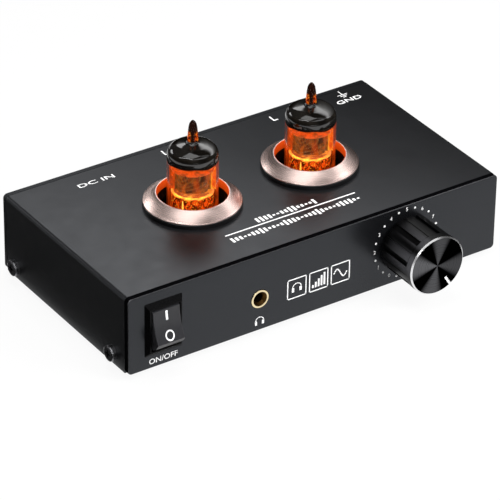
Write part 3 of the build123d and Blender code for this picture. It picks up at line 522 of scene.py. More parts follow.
class PREAMP_OT_case(bpy.types.Operator):
    """Paint the cover, the tray and both plates, and finish the feet"""

    bl_idname = "preamp.case"
    bl_label = "Case"

    def execute(self, context):
        for title, node, colour, roughness, specular in (
            ("cover paint", "top_cover", case().cover_colour, 0.35, 0.5),
            ("tray paint", "base_tray", case().cover_colour, 0.5, 0.4),
            ("rear plate paint", "rear_panel", case().plate_colour, 0.46, 0.35),
        ):
            dress((node,), paint(title, colour, roughness, specular))
        self.front_plate()
        dress(("rubber_feet",), plain_finish(
            "foot rubber", (0.012, 0.012, 0.012), 0.75, specular=0.3, patch=3, shade=0.2, grain=0.5, relief=0.02))
        return {"FINISHED"}

    def front_plate(self):
        """Satin black face, bright-cut bevel round it, and sawn edges painted matt near-black with no gloss, as painted
        shade.
        """
        border, bevel_depth = 2, 0.6
        bm = copied("front_panel", merge_flats=True)
        for face in bm.faces:
            spot = face.calc_center_median()
            outer = (abs(spot.x) > HALF_CASE - border or spot.z > COVER_TOP - border or spot.z < CASE_LOW + border)
            if outer and -0.95 < face.normal.y < -0.3 and spot.y < FRONT + bevel_depth:
                face.material_index = 1
            elif outer and abs(face.normal.y) < 0.3:
                face.material_index = 2
        satin = paint("front plate paint", case().plate_colour, 0.28, 0.42, cloud=25, shade=0.06,
                      sheen=(0.2, 3), spread=0.04, peel=(0.18, 3))
        bevel = plain_finish("plate bevel", CUT_METAL, 0.3, metallic=1, patch=2, shade=0.1)
        # Painted shade: the sawn edges get a near-black matt colour with no gloss, so they show as a dark band.
        sawn = plain_finish("edge painted as shade", (0.0015, 0.0015, 0.0018), 0.9, specular=0.0, patch=2, shade=0.3)
        finished("front_plate", bm, (satin, bevel, sawn), "front_panel", 20, ("front_panel",))


class PREAMP_OT_fasteners(bpy.types.Operator):
    """Finish the screws, nuts and standoffs"""

    bl_idname = "preamp.fasteners"
    bl_label = "Fasteners"

    def execute(self, context):
        dress(("cover_screws",), plain_finish(
            "black nickel", (0.2, 0.2, 0.21), 0.3, metallic=1, patch=1.5, shade=0.3, grain=0.3))
        dress(("rear_panel_screws", "board_screws", "front_panel_nuts", "ground_lock_nut", "knob_set_screw"),
              plain_finish("zinc", (0.5, 0.5, 0.52), 0.34, metallic=1, patch=1.2, shade=0.15, grain=0.2))
        dress(("board_standoffs",), plain_finish(
            "standoff brass", (0.68, 0.49, 0.2), 0.32, metallic=1, patch=1.5, shade=0.15, stretch=(1, 1, 4)))
        return {"FINISHED"}


class PREAMP_OT_board(bpy.types.Operator):
    """Finish the circuit board and the components on it"""

    bl_idname = "preamp.board"
    bl_label = "Board"

    def execute(self, context):
        lacquer = Finish("board lacquer")
        tracks = lacquer.span(lacquer.noise(5, 1, (1, 3, 1)), 0.49, 0.51)
        dress(("main_board",), lacquer.set(
            base_color=lacquer.blend((0.008, 0.05, 0.02), (0.014, 0.09, 0.035), tracks),
            roughness=0.32,
            normal=lacquer.bump(tracks, 0.03),
        ))
        for title, node, colour, roughness, metallic in (
            ("can sleeve", "electrolytic_capacitors", (0.012, 0.014, 0.02), 0.3, 0),
            ("film case", "film_capacitors", (0.35, 0.03, 0.02), 0.4, 0),
            ("chip resin", "amplifier_chips", (0.02, 0.02, 0.021), 0.55, 0),
            ("resistor lacquer", "resistors", (0.12, 0.3, 0.42), 0.4, 0),
            ("ferrite", "boost_inductor", (0.05, 0.05, 0.052), 0.6, 0),
            ("pot steel", "volume_pot", (0.55, 0.55, 0.56), 0.35, 1),
        ):
            dress((node,), plain_finish(title, colour, roughness, metallic=metallic, patch=2, shade=0.2, grain=0.3))
        return {"FINISHED"}


# ---- Valves

class PREAMP_OT_rings(bpy.types.Operator):
    """Turn the two brushed trim rings and finish their washers"""

    bl_idname = "preamp.rings"
    bl_label = "Trim rings"

    def execute(self, context):
        for side in SIDES:
            self.ring(side)
        dress(both("ring_washer"), plain_finish(
            "washer rubber", (0.006, 0.006, 0.0065), 0.35, specular=0.4, patch=3, shade=0.2, grain=0.3))
        return {"FINISHED"}

    def ring(self, side):
        """One ring on its spigot, its bore painted near black below as shade and painted with the valve's glow above.
        """
        node = f"{side}_trim_ring"
        low, high = corners(node)
        centre = middle(node)
        washer, land, top_flat, chamfer = 1.6, 0.35, 0.5, 0.17
        base, crown = COVER_TOP + washer, high.z
        edge = (high.x - low.x) / 2
        spigot, bore = 13.3, 12.55
        lit_from = base + 0.2
        bm = turned((
            (bore, low.z), (spigot, low.z), (spigot, base), (edge, base), (edge, base + land),
            (bore + top_flat, crown), (bore + chamfer, crown), (bore, crown - chamfer), (bore, lit_from),
        ), 160, soft=((4, 0.12), (5, 0.1), (6, 0.05)), segments=2)
        for face in bm.faces:
            spot = face.calc_center_median()
            if spot.xy.length < bore + 0.1:
                face.material_index = 1 if spot.z < lit_from else 2
        # Painted shade: the bore below the glow band gets a near-black colour where shade falls.
        inside = plain_finish(f"{side} bore painted as shade", (0.004, 0.004, 0.004), 0.6, specular=0.2, centre=centre)
        finishes = (self.brushed(side, centre), inside, self.lit(side, centre, base, crown))
        finished(f"{side}_ring", stood(bm, centre), finishes, node, 30, (node,))

    def lit(self, side, centre, base, crown):
        """Upper bore, with the valve's light painted on as glow."""
        metal = Finish(f"{side} lit bore", centre)
        cloud = metal.noise(5, 2)
        height = metal.span(metal.axes()[2], (base - centre.z) * MM, (crown - centre.z) * MM)
        # Painted light: emission in the valve's colour, stronger towards the ring's top, stands for the valve's light
        # on the bore.
        glow = valve().glow_colour
        share = metal.maths("MULTIPLY", height, metal.span(cloud, 0.2, 0.6, 0.6, 1))
        return metal.set(
            base_color=(0.5, 0.16, 0.06),
            metallic=0.8,
            roughness=metal.vary(cloud, 0.3, 0.4),
            emission_color=metal.blend(shaded(glow, 0.45), glow, share),
            emission_strength=0.8 * valve().glow,
        )

    def brushed(self, side, centre):
        """Fine turning marks that run round the ring."""
        metal = Finish(f"{side} rose gold", centre)
        marks = metal.lathe_marks(metal.from_axis("Z"), 9000)
        colour = valve().ring_colour
        return metal.set(
            base_color=metal.blend(shaded(colour, 0.93), colour, metal.vary(metal.noise(5))),
            metallic=1.0,
            roughness=metal.vary(marks, 0.24, 0.34),
            anisotropic=0.75,
            normal=metal.bump(marks, 0.0006),
        ).brush_round("Z")


# A valve's dome, as heights above the shoulder: the wall's end, the brow with its share of the
# radius, the crown on the axis, and the foot of the pip with its radius.
WALL_TOP = 2.8
BROW = (0.68, 4.45)
CROWN = 5.3
PIP_FOOT = (1.95, 5.4)
PIP_TOP = 13.9
# The pip's outline as (radius, depth below its top), of the glass and of the smoke inside it.
PIP = ((1.86, 6.0), (1.62, 3.2), (1.25, 0.9), (0.5, 0), (0, 0))
SMOKE = ((1.78, 6.0), (1.54, 3.2), (1.17, 0.98), (0.45, 0.1), (0, 0.1))


class PREAMP_OT_envelopes(bpy.types.Operator):
    """Blow the two valves' glass, with the dark film under the dome and the glow inside"""

    bl_idname = "preamp.envelopes"
    bl_label = "Valve glass"

    def execute(self, context):
        for side in SIDES:
            node = f"{side}_tube_glass"
            low, high = corners(node)
            self.centre = middle(node)
            self.seat, self.tip = low.z, high.z
            self.radius = (high.x - low.x) / 2
            self.shoulder = self.tip - PIP_TOP
            self.edge = COVER_TOP + valve().film_height
            self.glass(side, node)
            self.film(side, node)
            self.smoked_tip(side, node)
            self.haze(side, node)
        return {"FINISHED"}

    def dome(self, inset):
        """Points of the dome's half section, from the wall to the pip, this far inside the glass's face."""
        r, z = self.radius - inset, self.shoulder
        return [(r, z), (r, z + WALL_TOP - inset * 0.6), (r * BROW[0], z + BROW[1] - inset),
                (PIP_FOOT[0], z + PIP_FOOT[1] - inset)]

    def level(self, z):
        """A height as the valve's finishes read it: from its middle, in metres."""
        return (z - self.centre.z) * MM

    def glass(self, side, node):
        """Clear glass whose dome is flashed black outside and drawn out to a pip."""
        r, z, wall, foot, floor = self.radius, self.shoulder, 0.8, 0.9, 3
        bm = turned(
            [(0, self.seat), (r - foot, self.seat), (r, self.seat + foot), *self.dome(0),
             *((radius, self.tip - depth) for radius, depth in PIP),
             (0, z + CROWN - wall), *self.dome(wall)[2::-1], (r - wall, self.seat + floor), (0, self.seat + floor)],
            soft=((1, 0.3), (2, 0.3), (4, 2.1), (5, 1.15), (6, 0.8), (9, 0.8), (14, 1.9)), segments=8)
        for face in bm.faces:
            spot = face.calc_center_median()
            outside = face.normal.dot(Vector((spot.x, spot.y, r))) > 0
            if outside and spot.z > z + 0.01 and spot.xy.length > PIP[0][0] + 0.04:
                face.material_index = 1
        glass = Finish(f"{side} valve glass", self.centre)
        ripple = glass.noise(7, 2)
        glass.set(
            base_color=(1.0, 0.97, 0.93),
            roughness=glass.vary(ripple, 0.0, 0.03),
            transmission_weight=1.0,
            ior=1.08,
            coat_weight=0.03,
            coat_roughness=0.04,
            normal=glass.bump(ripple, 0.12, 0.4),
        )
        flashed = Finish(f"{side} flashed dome", self.centre)
        cloud = flashed.noise(4)
        flashed.set(
            base_color=flashed.blend(FILM_BLACK, (0.008, 0.0065, 0.005), flashed.span(cloud, 0.35, 0.75)),
            specular_ior_level=0.9,
            roughness=flashed.vary(cloud, 0.04, 0.09),
            normal=flashed.bump(flashed.noise(5, 2), 0.16, 0.5),
        )
        finished(f"{side}_glass", stood(bm, self.centre), (glass, flashed), node, 40, (node,))

    def film(self, side, node):
        """Dark film on the glass's inside, its lower edge a little uneven."""
        inset, thickness = 0.12, 0.1
        slow_swing, quick_swing = 0.25, 0.14
        outer, inner = self.dome(inset), self.dome(inset + thickness)
        crown = self.shoulder + CROWN - inset
        bm = turned(
            [(outer[0][0], self.edge), *outer[1:3], (0, crown), (0, crown - thickness), *inner[2:0:-1],
             (inner[0][0], self.edge)], soft=((1, 2.4), (2, 2.2), (5, 2.2), (6, 2.4)), segments=8)
        for vert in bm.verts:
            if vert.co.z < self.edge + 0.01:
                angle = Vector((1, 0)).angle_signed(vert.co.xy)
                vert.co.z += slow_swing * sin(3 * angle + 1) + quick_swing * sin(7 * angle)
        film = Finish(f"{side} dark film", self.centre)
        cloud = film.noise(4)
        film.set(
            base_color=film.blend(FILM_BLACK, (0.010, 0.008, 0.006), film.span(cloud, 0.35, 0.75)),
            specular_ior_level=0.03,
            roughness=film.vary(cloud, 0.2, 0.3),
            normal=film.bump(cloud, 0.1, 0.5),
        )
        finished(f"{side}_film", stood(bm, self.centre), (film,), node, 40)

    def smoked_tip(self, side, node):
        """Smoked inside of the pip, with a few sparks of the valve's glow painted on low down as painted glints."""
        z, tip = self.shoulder, self.tip
        bm = turned(
            [(0, z + CROWN - 0.1), (PIP[0][0], z + PIP_FOOT[1]), *((radius, tip - depth) for radius, depth in SMOKE)],
            32, soft=((2, 0.6), (3, 0.8), (4, 0.7)), segments=3)
        smoke = Finish(f"{side} smoked tip", self.centre)
        height = smoke.axes()[2]
        patches = smoke.noise(1.6, 3, (1, 1, 0.7), 0.8)
        sparks = smoke.noise(0.9, 3, (1, 1, 0.8), 1.2)
        # Painted glints: patches of orange and yellow emission on the pip's sides, low down, stand for light coming
        # through.
        share = smoke.maths(
            "MULTIPLY",
            smoke.span(height, self.level(tip - 3.6), self.level(tip - 5.2)),
            smoke.span(smoke.maths("ABSOLUTE", smoke.along(ACROSS)), 0.5 * MM, 1.1 * MM),
            smoke.span(sparks, 0.42, 0.56),
            smoke.span(height, self.level(z + 5.9), self.level(z + 7.6), 0.1, 1),
        )
        warm = smoke.blend(valve().glow_colour, valve().flame_colour, smoke.span(sparks, 0.55, 0.66))
        smoke.set(
            base_color=smoke.blend((0.002, 0.001, 0.0008), (0.008, 0.003, 0.0015), smoke.vary(patches)),
            roughness=0.15,
            specular_ior_level=0.02,
            emission_color=smoke.blend((0.006, 0.0008, 0.0002), warm, share),
            emission_strength=1.2 * valve().glow,
            normal=smoke.bump(patches, 0.2),
        )
        finished(f"{side}_tip", stood(bm, self.centre), (smoke,), node, 50)

    def haze(self, side, node):
        """Thin sheet just inside the glass, between its foot and the film, that carries the valve's glow as painted
        light.
        """
        inset, thickness = 0.14, 0.1
        outer = self.radius - inset
        bm = tube(outer, outer - thickness, self.seat + 3.1, self.edge + 0.4)
        haze = Finish(f"{side} glow", self.centre)
        flow = haze.noise(3.2, 3, (1, 1, 0.45), 0.6)
        glow = valve().glow_colour
        # Painted light: the sheet glows in the valve's colour in streaks and is partly see-through.
        haze.set(
            base_color=(0.02, 0.004, 0.001),
            roughness=0.8,
            specular_ior_level=0.0,
            emission_color=haze.blend(shaded(glow, 0.35), glow, haze.span(flow, 0.35, 0.6)),
            emission_strength=valve().glow,
            alpha=haze.span(flow, 0.42, 0.68, 0.0, 0.17),
        )
        finished(f"{side}_haze", stood(bm, self.centre), (haze,), node, 40)


class PREAMP_OT_valve_insides(bpy.types.Operator):
    """Finish anodes, micas, cathodes, getters, pins, sockets and lamps, and add their bright rims of painted light"""

    bl_idname = "preamp.valve_insides"
    bl_label = "Valve insides"

    def execute(self, context):
        self.glow, self.flame = valve().glow_colour, valve().flame_colour
        for side in SIDES:
            self.centre = middle(f"{side}_tube_glass")
            self.anode(side)
            self.micas(side)
            self.lit_rim(side)
            self.shields(side)
            self.embers(side)
            self.upright_flame(side)
        for title, part, colour, metallic, light, strength in (
            ("cathode sleeve", "tube_cathode", (0.4, 0.38, 0.35), 1, self.flame, 1.2),
            # The getter ring and the pins get emission as painted glow from the valve's light; the lamp lens is the
            # lamp.
            ("getter ring", "tube_getter", (0.3, 0.3, 0.28), 1, self.glow, 0.2),
            ("pin metal", "tube_pins", (0.5, 0.48, 0.45), 1, self.glow, 0.35),
            ("lamp lens", "glow_lamp", (0.8, 0.3, 0.1), 0, self.flame, 3.0),
        ):
            dress(both(part), plain_finish(
                title, colour, 0.35, metallic=metallic, patch=2, shade=0.25, grain=0.4,
                emission_color=light, emission_strength=strength * valve().glow))
        dress(both("tube_socket"), plain_finish(
            "socket plastic", (0.006, 0.006, 0.006), 0.6, specular=0.2, patch=2, shade=0.2))
        return {"FINISHED"}

    def anode(self, side):
        """Carbonised box with brown-orange light painted on as glow, pressed arcs painted brighter on its flanks, and a
        dark window low down where almost no glow is painted.
        """
        box = Finish(f"{side} anode", self.centre)
        z = box.axes()[2]
        cloud = box.noise(2.0, 4, (1, 1, 0.6), 0.8)
        wave = box.add("ShaderNodeTexWave")
        wave.wave_type = "RINGS"
        arcs = box.feed(wave, {"Vector": box.place, "Scale": 260, "Distortion": 1.0}, "Fac")
        # Painted light: the anode's emission stands for the lamp's light on it; the arcs get painted highlights and the
        # window painted shade.
        lit = box.blend((0.07, 0.014, 0.002), (0.46, 0.095, 0.006), box.span(cloud, 0.42, 0.66))
        window_middle = 3.7 * MM
        beside = box.maths("ABSOLUTE", box.maths("SUBTRACT", box.along(ACROSS), window_middle))
        window = box.maths("MULTIPLY", box.span(beside, 1.1 * MM, 0.8 * MM), box.span(z, -2.2 * MM, -1.6 * MM))
        lit = box.blend(lit, (0.012, 0.003, 0.001), window)
        dress((f"{side}_tube_anode",), box.set(
            base_color=(0.03, 0.022, 0.016),
            roughness=box.vary(cloud, 0.35, 0.6),
            specular_ior_level=0.05,
            emission_color=box.blend(lit, (0.42, 0.17, 0.03), box.span(arcs, 0.8, 0.95, 0, 0.35)),
            emission_strength=0.75 * valve().glow,
            normal=box.bump(arcs, 0.15),
        ))

    def micas(self, side):
        """Mica plates with painted glow: the lower one painted as catching the lamp, the upper one painted glowing red.
        """
        mica = Finish(f"{side} mica", self.centre)
        lower = mica.span(mica.axes()[2], 0, -1 * MM)
        flicker = mica.noise(2.5)
        warm = mica.blend(self.glow, self.flame, mica.span(flicker, 0.35, 0.65))
        # Painted light: emission on the micas stands for the lamp's light.
        dress((f"{side}_tube_micas",), mica.set(
            base_color=(0.2, 0.08, 0.03),
            roughness=0.3,
            specular_ior_level=0.1,
            emission_color=mica.blend(shaded(self.glow, 0.85), warm, lower),
            emission_strength=mica.span(flicker, 0.38, 0.62, 0.3 * valve().glow, 1.1 * valve().glow),
            normal=mica.bump(flicker, 0.05),
        ))

    def lit_rim(self, side):
        """Thin hoop round the lower mica that carries a painted highlight of the lamp's light, most on its front left.
        """
        node = f"{side}_tube_micas"
        low, high = corners(node)
        width, height, rounding = 0.8, 0.6, 0.15
        radius = (high.x - low.x) / 2 - 0.1
        base = low.z - rounding
        bm = tube(radius, radius - width, base, base + height, soft=((1, rounding), (2, rounding)))
        rim = Finish(f"{side} lit rim", self.centre)
        # Painted highlight: emission that grows towards the front left.
        front = rim.along((-0.75, -0.66, 0))
        flicker = rim.noise(1.6)
        share = rim.maths("MULTIPLY", rim.span(front, -2 * MM, 6 * MM), rim.span(flicker, 0.3, 0.6, 0.35, 1))
        rim.set(
            base_color=(0.4, 0.15, 0.05),
            roughness=0.3,
            specular_ior_level=0.1,
            emission_color=rim.blend(self.glow, self.flame, share),
            emission_strength=rim.span(share, 0, 1, 0.6 * valve().glow, 2.4 * valve().glow),
        )
        finished(f"{side}_lit_rim", stood(bm, self.centre), (rim,), node, 40)

    def shields(self, side):
        """Two thin plates beside the anode with the glow painted on, brighter to the right and lower down."""
        low, high = corners(f"{side}_tube_anode")
        width, thickness, from_axis = 2.5, 0.2, 6.85
        plates = []
        for end in (-1, 1):
            spot = Vector((self.centre.x, self.centre.y, (low.z + high.z) / 2)) + end * from_axis * ACROSS
            plate = block((width, thickness, high.z - low.z - 0.1), edge=0.05)
            plates.append(placed(plate, Matrix.Translation(spot) @ Matrix.Rotation(ANODE_TURN, 4, "Z")))
        shield = Finish(f"{side} lit shield", self.centre)
        # Painted light: emission stronger to the right and lower down.
        level = shield.maths(
            "ADD",
            shield.noise(2.2, 4, (1, 1, 0.5), 1.0),
            shield.span(shield.along(ACROSS), -7 * MM, 7 * MM, -0.08, 0.13),
            shield.span(shield.axes()[2], -6 * MM, 1 * MM, 0.12, 0.0),
        )
        warm = shield.blend((0.09, 0.02, 0.003), self.glow, shield.span(level, 0.4, 0.6))
        shield.set(
            base_color=(0.05, 0.02, 0.01),
            roughness=0.5,
            specular_ior_level=0.0,
            emission_color=shield.blend(warm, self.flame, shield.span(level, 0.62, 0.8)),
            emission_strength=0.95 * valve().glow,
        )
        finished(f"{side}_glow_shields", gathered(plates), (shield,), f"{side}_tube_anode", 40)

    def glow_foot(self, side):
        """Piece that the lights below the lower mica ride with, and their lowest and highest heights."""
        node = f"{side}_tube_micas"
        return node, COVER_TOP - 5, corners(node)[0].z - 0.3

    def embers(self, side):
        """Painted light below the lower mica, broken up by painted shade of leads and foot."""
        node, base, top = self.glow_foot(side)
        radius, thickness = 7.4, 0.3
        bm = tube(radius, radius - thickness, base, top, 72)
        ember = Finish(f"{side} embers", self.centre)
        cloud = ember.noise(1.5, 4, (1, 1, 0.7), 1.2)
        dark = ember.blend((0.035, 0.002, 0.0003), shaded(self.glow, 0.9), ember.span(cloud, 0.48, 0.58))
        # Painted light: bright flame colour between cells, painted shade nearer their middles.
        ember.set(
            base_color=(0.02, 0.003, 0.001),
            roughness=0.6,
            specular_ior_level=0.0,
            emission_color=ember.blend(self.flame, dark, ember.span(ember.cells(1.0), 0.12, 0.26)),
            emission_strength=1.1 * valve().glow,
        )
        finished(f"{side}_embers", stood(bm, self.centre), (ember,), node, 40)

    def upright_flame(self, side):
        """One bright spindle of painted light at the front left of the embers."""
        node, base, top = self.glow_foot(side)
        bm = turned(((0, base), (0.35, base + 1.5), (0.43, base + 4.5), (0.22, top - 0.8), (0, top)), 16,
                    soft=((1, 0.5), (2, 0.8), (3, 0.5)), segments=3)
        fire = plain_finish(f"{side} flame", (0.6, 0.3, 0.1), 0.4, patch=1,
                            emission_color=self.flame, emission_strength=1.5 * valve().glow)
        spot = self.centre + Vector((-6.6, -3.95, 0))
        finished(f"{side}_flame", stood(bm, spot), (fire,), node, 60)


# ---- Controls

class PREAMP_OT_volume(bpy.types.Operator):
    """Make the knob with its turned face and bright rim, and print the dial"""

    bl_idname = "preamp.volume"
    bl_label = "Volume control"

    def execute(self, context):
        rim_inside, face_edge = 10.4, 11.3
        face_y = corners("volume_knob")[0].y
        bm = copied("volume_knob", merge_flats=True)
        for face in bm.faces:
            spot = face.calc_center_median()
            from_axis = (spot.xz - DIAL.xz).length
            flat = face.normal.y < -0.95
            if flat and spot.y < face_y + 0.05:
                face.material_index = 1
            elif flat and spot.y < face_y + 0.5 and from_axis < face_edge:
                face.material_index = 3
            elif face.normal.y < -0.3 and spot.y < face_y + 0.55 and from_axis > rim_inside:
                face.material_index = 2
        rim = plain_finish("knob rim", (0.82, 0.82, 0.83), 0.3, metallic=1, patch=1.5, shade=0.06,
                           grain=0.2, relief=0.001)
        pointer = plain_finish("pointer paint", case().print_colour, 0.5, patch=1, shade=0.03)
        finished("knob", bm, (self.grip(), self.face(), rim, pointer), "volume_knob", 25, ("volume_knob",))
        dress(("pot_shaft", "pot_bushing", "pot_nut"), plain_finish(
            "plated steel", (0.6, 0.6, 0.61), 0.28, metallic=1, patch=2, shade=0.1, stretch=(1, 4, 1)))
        self.dial()
        return {"FINISHED"}

    def grip(self):
        """Black anodised flank, brushed along the knob, with a painted sheen to the upper left that fades towards the
        plate, and black gaps where no sheen is painted.
        """
        metal = Finish("knob grip", DIAL)
        x, y, z = metal.axes()
        lines = metal.noise(0.25, 3, (1, 0.03, 1))
        # Painted highlight: the sheen is painted into the base colour, up to nineteen times brighter than the
        # anodising.
        sheen = metal.maths(
            "MULTIPLY",
            metal.fans(metal.maths("ARCTAN2", z, x), ((165, 26, 1.0), (118, 18, 0.45))),
            metal.span(y, 7 * MM, -7 * MM),
            metal.span(metal.from_axis("Y"), 10.7 * MM, 10.9 * MM),
        )
        dark = controls().knob_colour
        return metal.set(
            base_color=metal.blend(shaded(dark, 0.3), shaded(dark, 19), sheen),
            specular_ior_level=0.12,
            roughness=metal.vary(lines, 0.32, 0.42),
            normal=metal.bump(lines, 0.004),
        )

    def face(self):
        """Face turned in fine circles, with four soft fans of light painted into its colour as painted highlights."""
        metal = Finish("knob face", DIAL)
        x, _, z = metal.axes()
        marks = metal.lathe_marks(metal.from_axis("Y"), 3200)
        fans = metal.fans(metal.maths("ARCTAN2", x, z), (
            (7, 25.2, 0.55), (104, 30.6, 0.5), (195, 28.8, 0.7), (283, 32.4, 1.0)))
        fans = metal.maths("MULTIPLY", fans, metal.vary(marks, 0.75, 1.2))
        # Painted highlight: the fans lift the base colour from near black towards CUT_METAL.
        return metal.set(
            base_color=metal.blend(shaded(controls().knob_colour, 0.12), CUT_METAL, fans),
            metallic=1.0,
            specular_tint=(0.3, 0.3, 0.3),
            roughness=metal.vary(marks, 0.26, 0.36),
            anisotropic=0.8,
            normal=metal.bump(marks, 0.0015),
        ).brush_round("Y")

    def dial(self):
        """Numbers 0 to 10, with a dot before, between and after them."""
        first, pitch, marks, dot = -165, 15, 23, 0.43
        shapes = []
        for step in range(marks):
            angle = radians(first + pitch * step)
            x = DIAL.x + controls().dial_radius * sin(angle)
            z = DIAL.z + controls().dial_radius * cos(angle)
            if step % 2:
                shape = lettering(str(step // 2), controls().number_height, bold=0.02)
            else:
                shape = turned(((0, 0), (dot, 0), (dot, case().ink), (0, case().ink)), 20)
            shapes.append(placed(shape, on_front(x, z)))
        finished("dial_print", gathered(shapes), (ink_finish("dial ink"),), "front_panel")


class PREAMP_OT_switch(bpy.types.Operator):
    """Finish the rocker switch and print the two signs on its rocker"""

    bl_idname = "preamp.switch"
    bl_label = "Power switch"

    def execute(self, context):
        dress(("switch_housing",), plain_finish(
            "switch plastic", (0.0016, 0.0016, 0.0018), 0.3, specular=0.07, patch=3, shade=0.15, grain=0.4))
        dress(("switch_rocker",), plain_finish(
            "rocker plastic", (0.02, 0.02, 0.0225), 0.4, specular=0.4, patch=3, shade=0.1, grain=0.3, relief=0.006))
        dress(("switch_terminals",), plain_finish("blade tin", (0.6, 0.58, 0.52), 0.35, metallic=1, patch=1.5))
        dress(("switch_wires",), plain_finish("wire sheath", (0.3, 0.012, 0.01), 0.45, patch=2))
        self.signs()
        return {"FINISHED"}

    def signs(self):
        """I and O, drawn in front of the rocker and laid back on its dished face."""
        x, clear = middle("switch_rocker").x, 8
        stroke_z, circle_z = CASE_LOW + 20.8, CASE_LOW + 13.85
        proud, thickness = 0.03, 0.06
        stroke = bmesh.new()
        bmesh.ops.create_grid(stroke, x_segments=2, y_segments=12, size=1)
        bmesh.ops.scale(stroke, vec=(0.43, 1.7, 1), verts=stroke.verts)
        placed(stroke, on_front(x, stroke_z, clear))
        circle = tube(1.74, 1.26, 0, 0.02, 48)
        bmesh.ops.delete(circle, geom=[f for f in circle.faces if f.normal.z < 0.5], context="FACES")
        placed(circle, on_front(x, circle_z, clear))
        shape = gathered((stroke, circle))
        rocker = copied("switch_rocker")
        tree = BVHTree.FromBMesh(rocker)
        rocker.free()
        for vert in shape.verts:
            hit = tree.ray_cast(vert.co, Vector((0, 1, 0)))[0]
            if hit is None:
                raise ValueError("a sign lies off the rocker")
            vert.co = hit - Vector((0, proud, 0))
        thickened(shape, (0, thickness, 0))
        finished("rocker_signs", shape, (ink_finish("rocker ink"),), "switch_rocker")


class PREAMP_OT_headphone_outlet(bpy.types.Operator):
    """Finish the headphone socket and its gold bush"""

    bl_idname = "preamp.headphone_outlet"
    bl_label = "Headphone outlet"

    def execute(self, context):
        gold = Finish("bush gold", middle("headphone_sleeve"))
        # Painted shade: inside the bore the gold is painted dark bronze and rougher.
        inside = gold.span(gold.from_axis("Y"), 2.85 * MM, 2.7 * MM)
        face = gold.blend((0.86, 0.7, 0.42), (0.95, 0.8, 0.52), gold.vary(gold.noise(1)))
        dress(("headphone_sleeve",), gold.set(
            base_color=gold.blend(face, (0.09, 0.045, 0.012), inside),
            metallic=1.0,
            roughness=gold.blend((0.25, 0.25, 0.25), (0.5, 0.5, 0.5), inside),
            normal=gold.bump(gold.noise(0.3), 0.002),
        ))
        dress(("headphone_jack", "dc_jack"), plain_finish(
            "jack plastic", (0.008, 0.008, 0.008), 0.45, specular=0.35, patch=2, shade=0.2))
        return {"FINISHED"}


class PREAMP_OT_rear_sockets(bpy.types.Operator):
    """Finish the phono sockets, the power inlet and the ground post"""

    bl_idname = "preamp.rear_sockets"
    bl_label = "Rear sockets"

    def execute(self, context):
        dress(("output_jack_block", "input_jack_block"), plain_finish(
            "block plastic", (0.01, 0.01, 0.01), 0.42, specular=0.4, patch=3, shade=0.2))
        dress(("jack_shells", "jack_contacts", "ground_post", "ground_washer", "ground_nut"), plain_finish(
            "gold plating", (0.88, 0.63, 0.27), 0.2, metallic=1, patch=1.5, shade=0.08, relief=0.002))
        dress(("left_jack_inserts",), plain_finish("white insert", (0.72, 0.72, 0.7), 0.35, patch=2, shade=0.04))
        dress(("right_jack_inserts",), plain_finish("red insert", (0.5, 0.012, 0.012), 0.35, patch=2, shade=0.08))
        dress(("dc_jack_pin",), plain_finish("nickel pin", (0.66, 0.65, 0.62), 0.22, metallic=1, patch=1))
        return {"FINISHED"}


# ---- Printing

def bar(width, height, x=0.0, y=0.0):
    """A printed rectangle."""
    return block((width, height, case().ink), (x, y, case().ink / 2))


def earth_sign():
    """Earth sign: a stem over three shortening bars."""
    line = 0.32
    return gathered([bar(line, 2.6, 0, 1.5)] + [bar(w, line, 0, y) for w, y in ((4.2, 0), (2.8, -0.9), (1.4, -1.8))])


def headphone_sign(size):
    """Headband arc over two ear pads, about four millimetres wide at size one."""
    band = tube(1.9, 1.6, 0, case().ink, 40)
    bmesh.ops.bisect_plane(
        band, geom=list(band.verts) + list(band.edges) + list(band.faces), dist=TINY,
        plane_co=(0, 0, 0), plane_no=(0, -1, 0), clear_outer=True)
    bmesh.ops.holes_fill(band, edges=band.edges, sides=6)
    pads = [bar(0.9, 1.6, x, -0.6) for x in (-1.5, 1.5)]
    return placed(gathered([band] + pads), Matrix.Diagonal((size, size, 1, 1)))


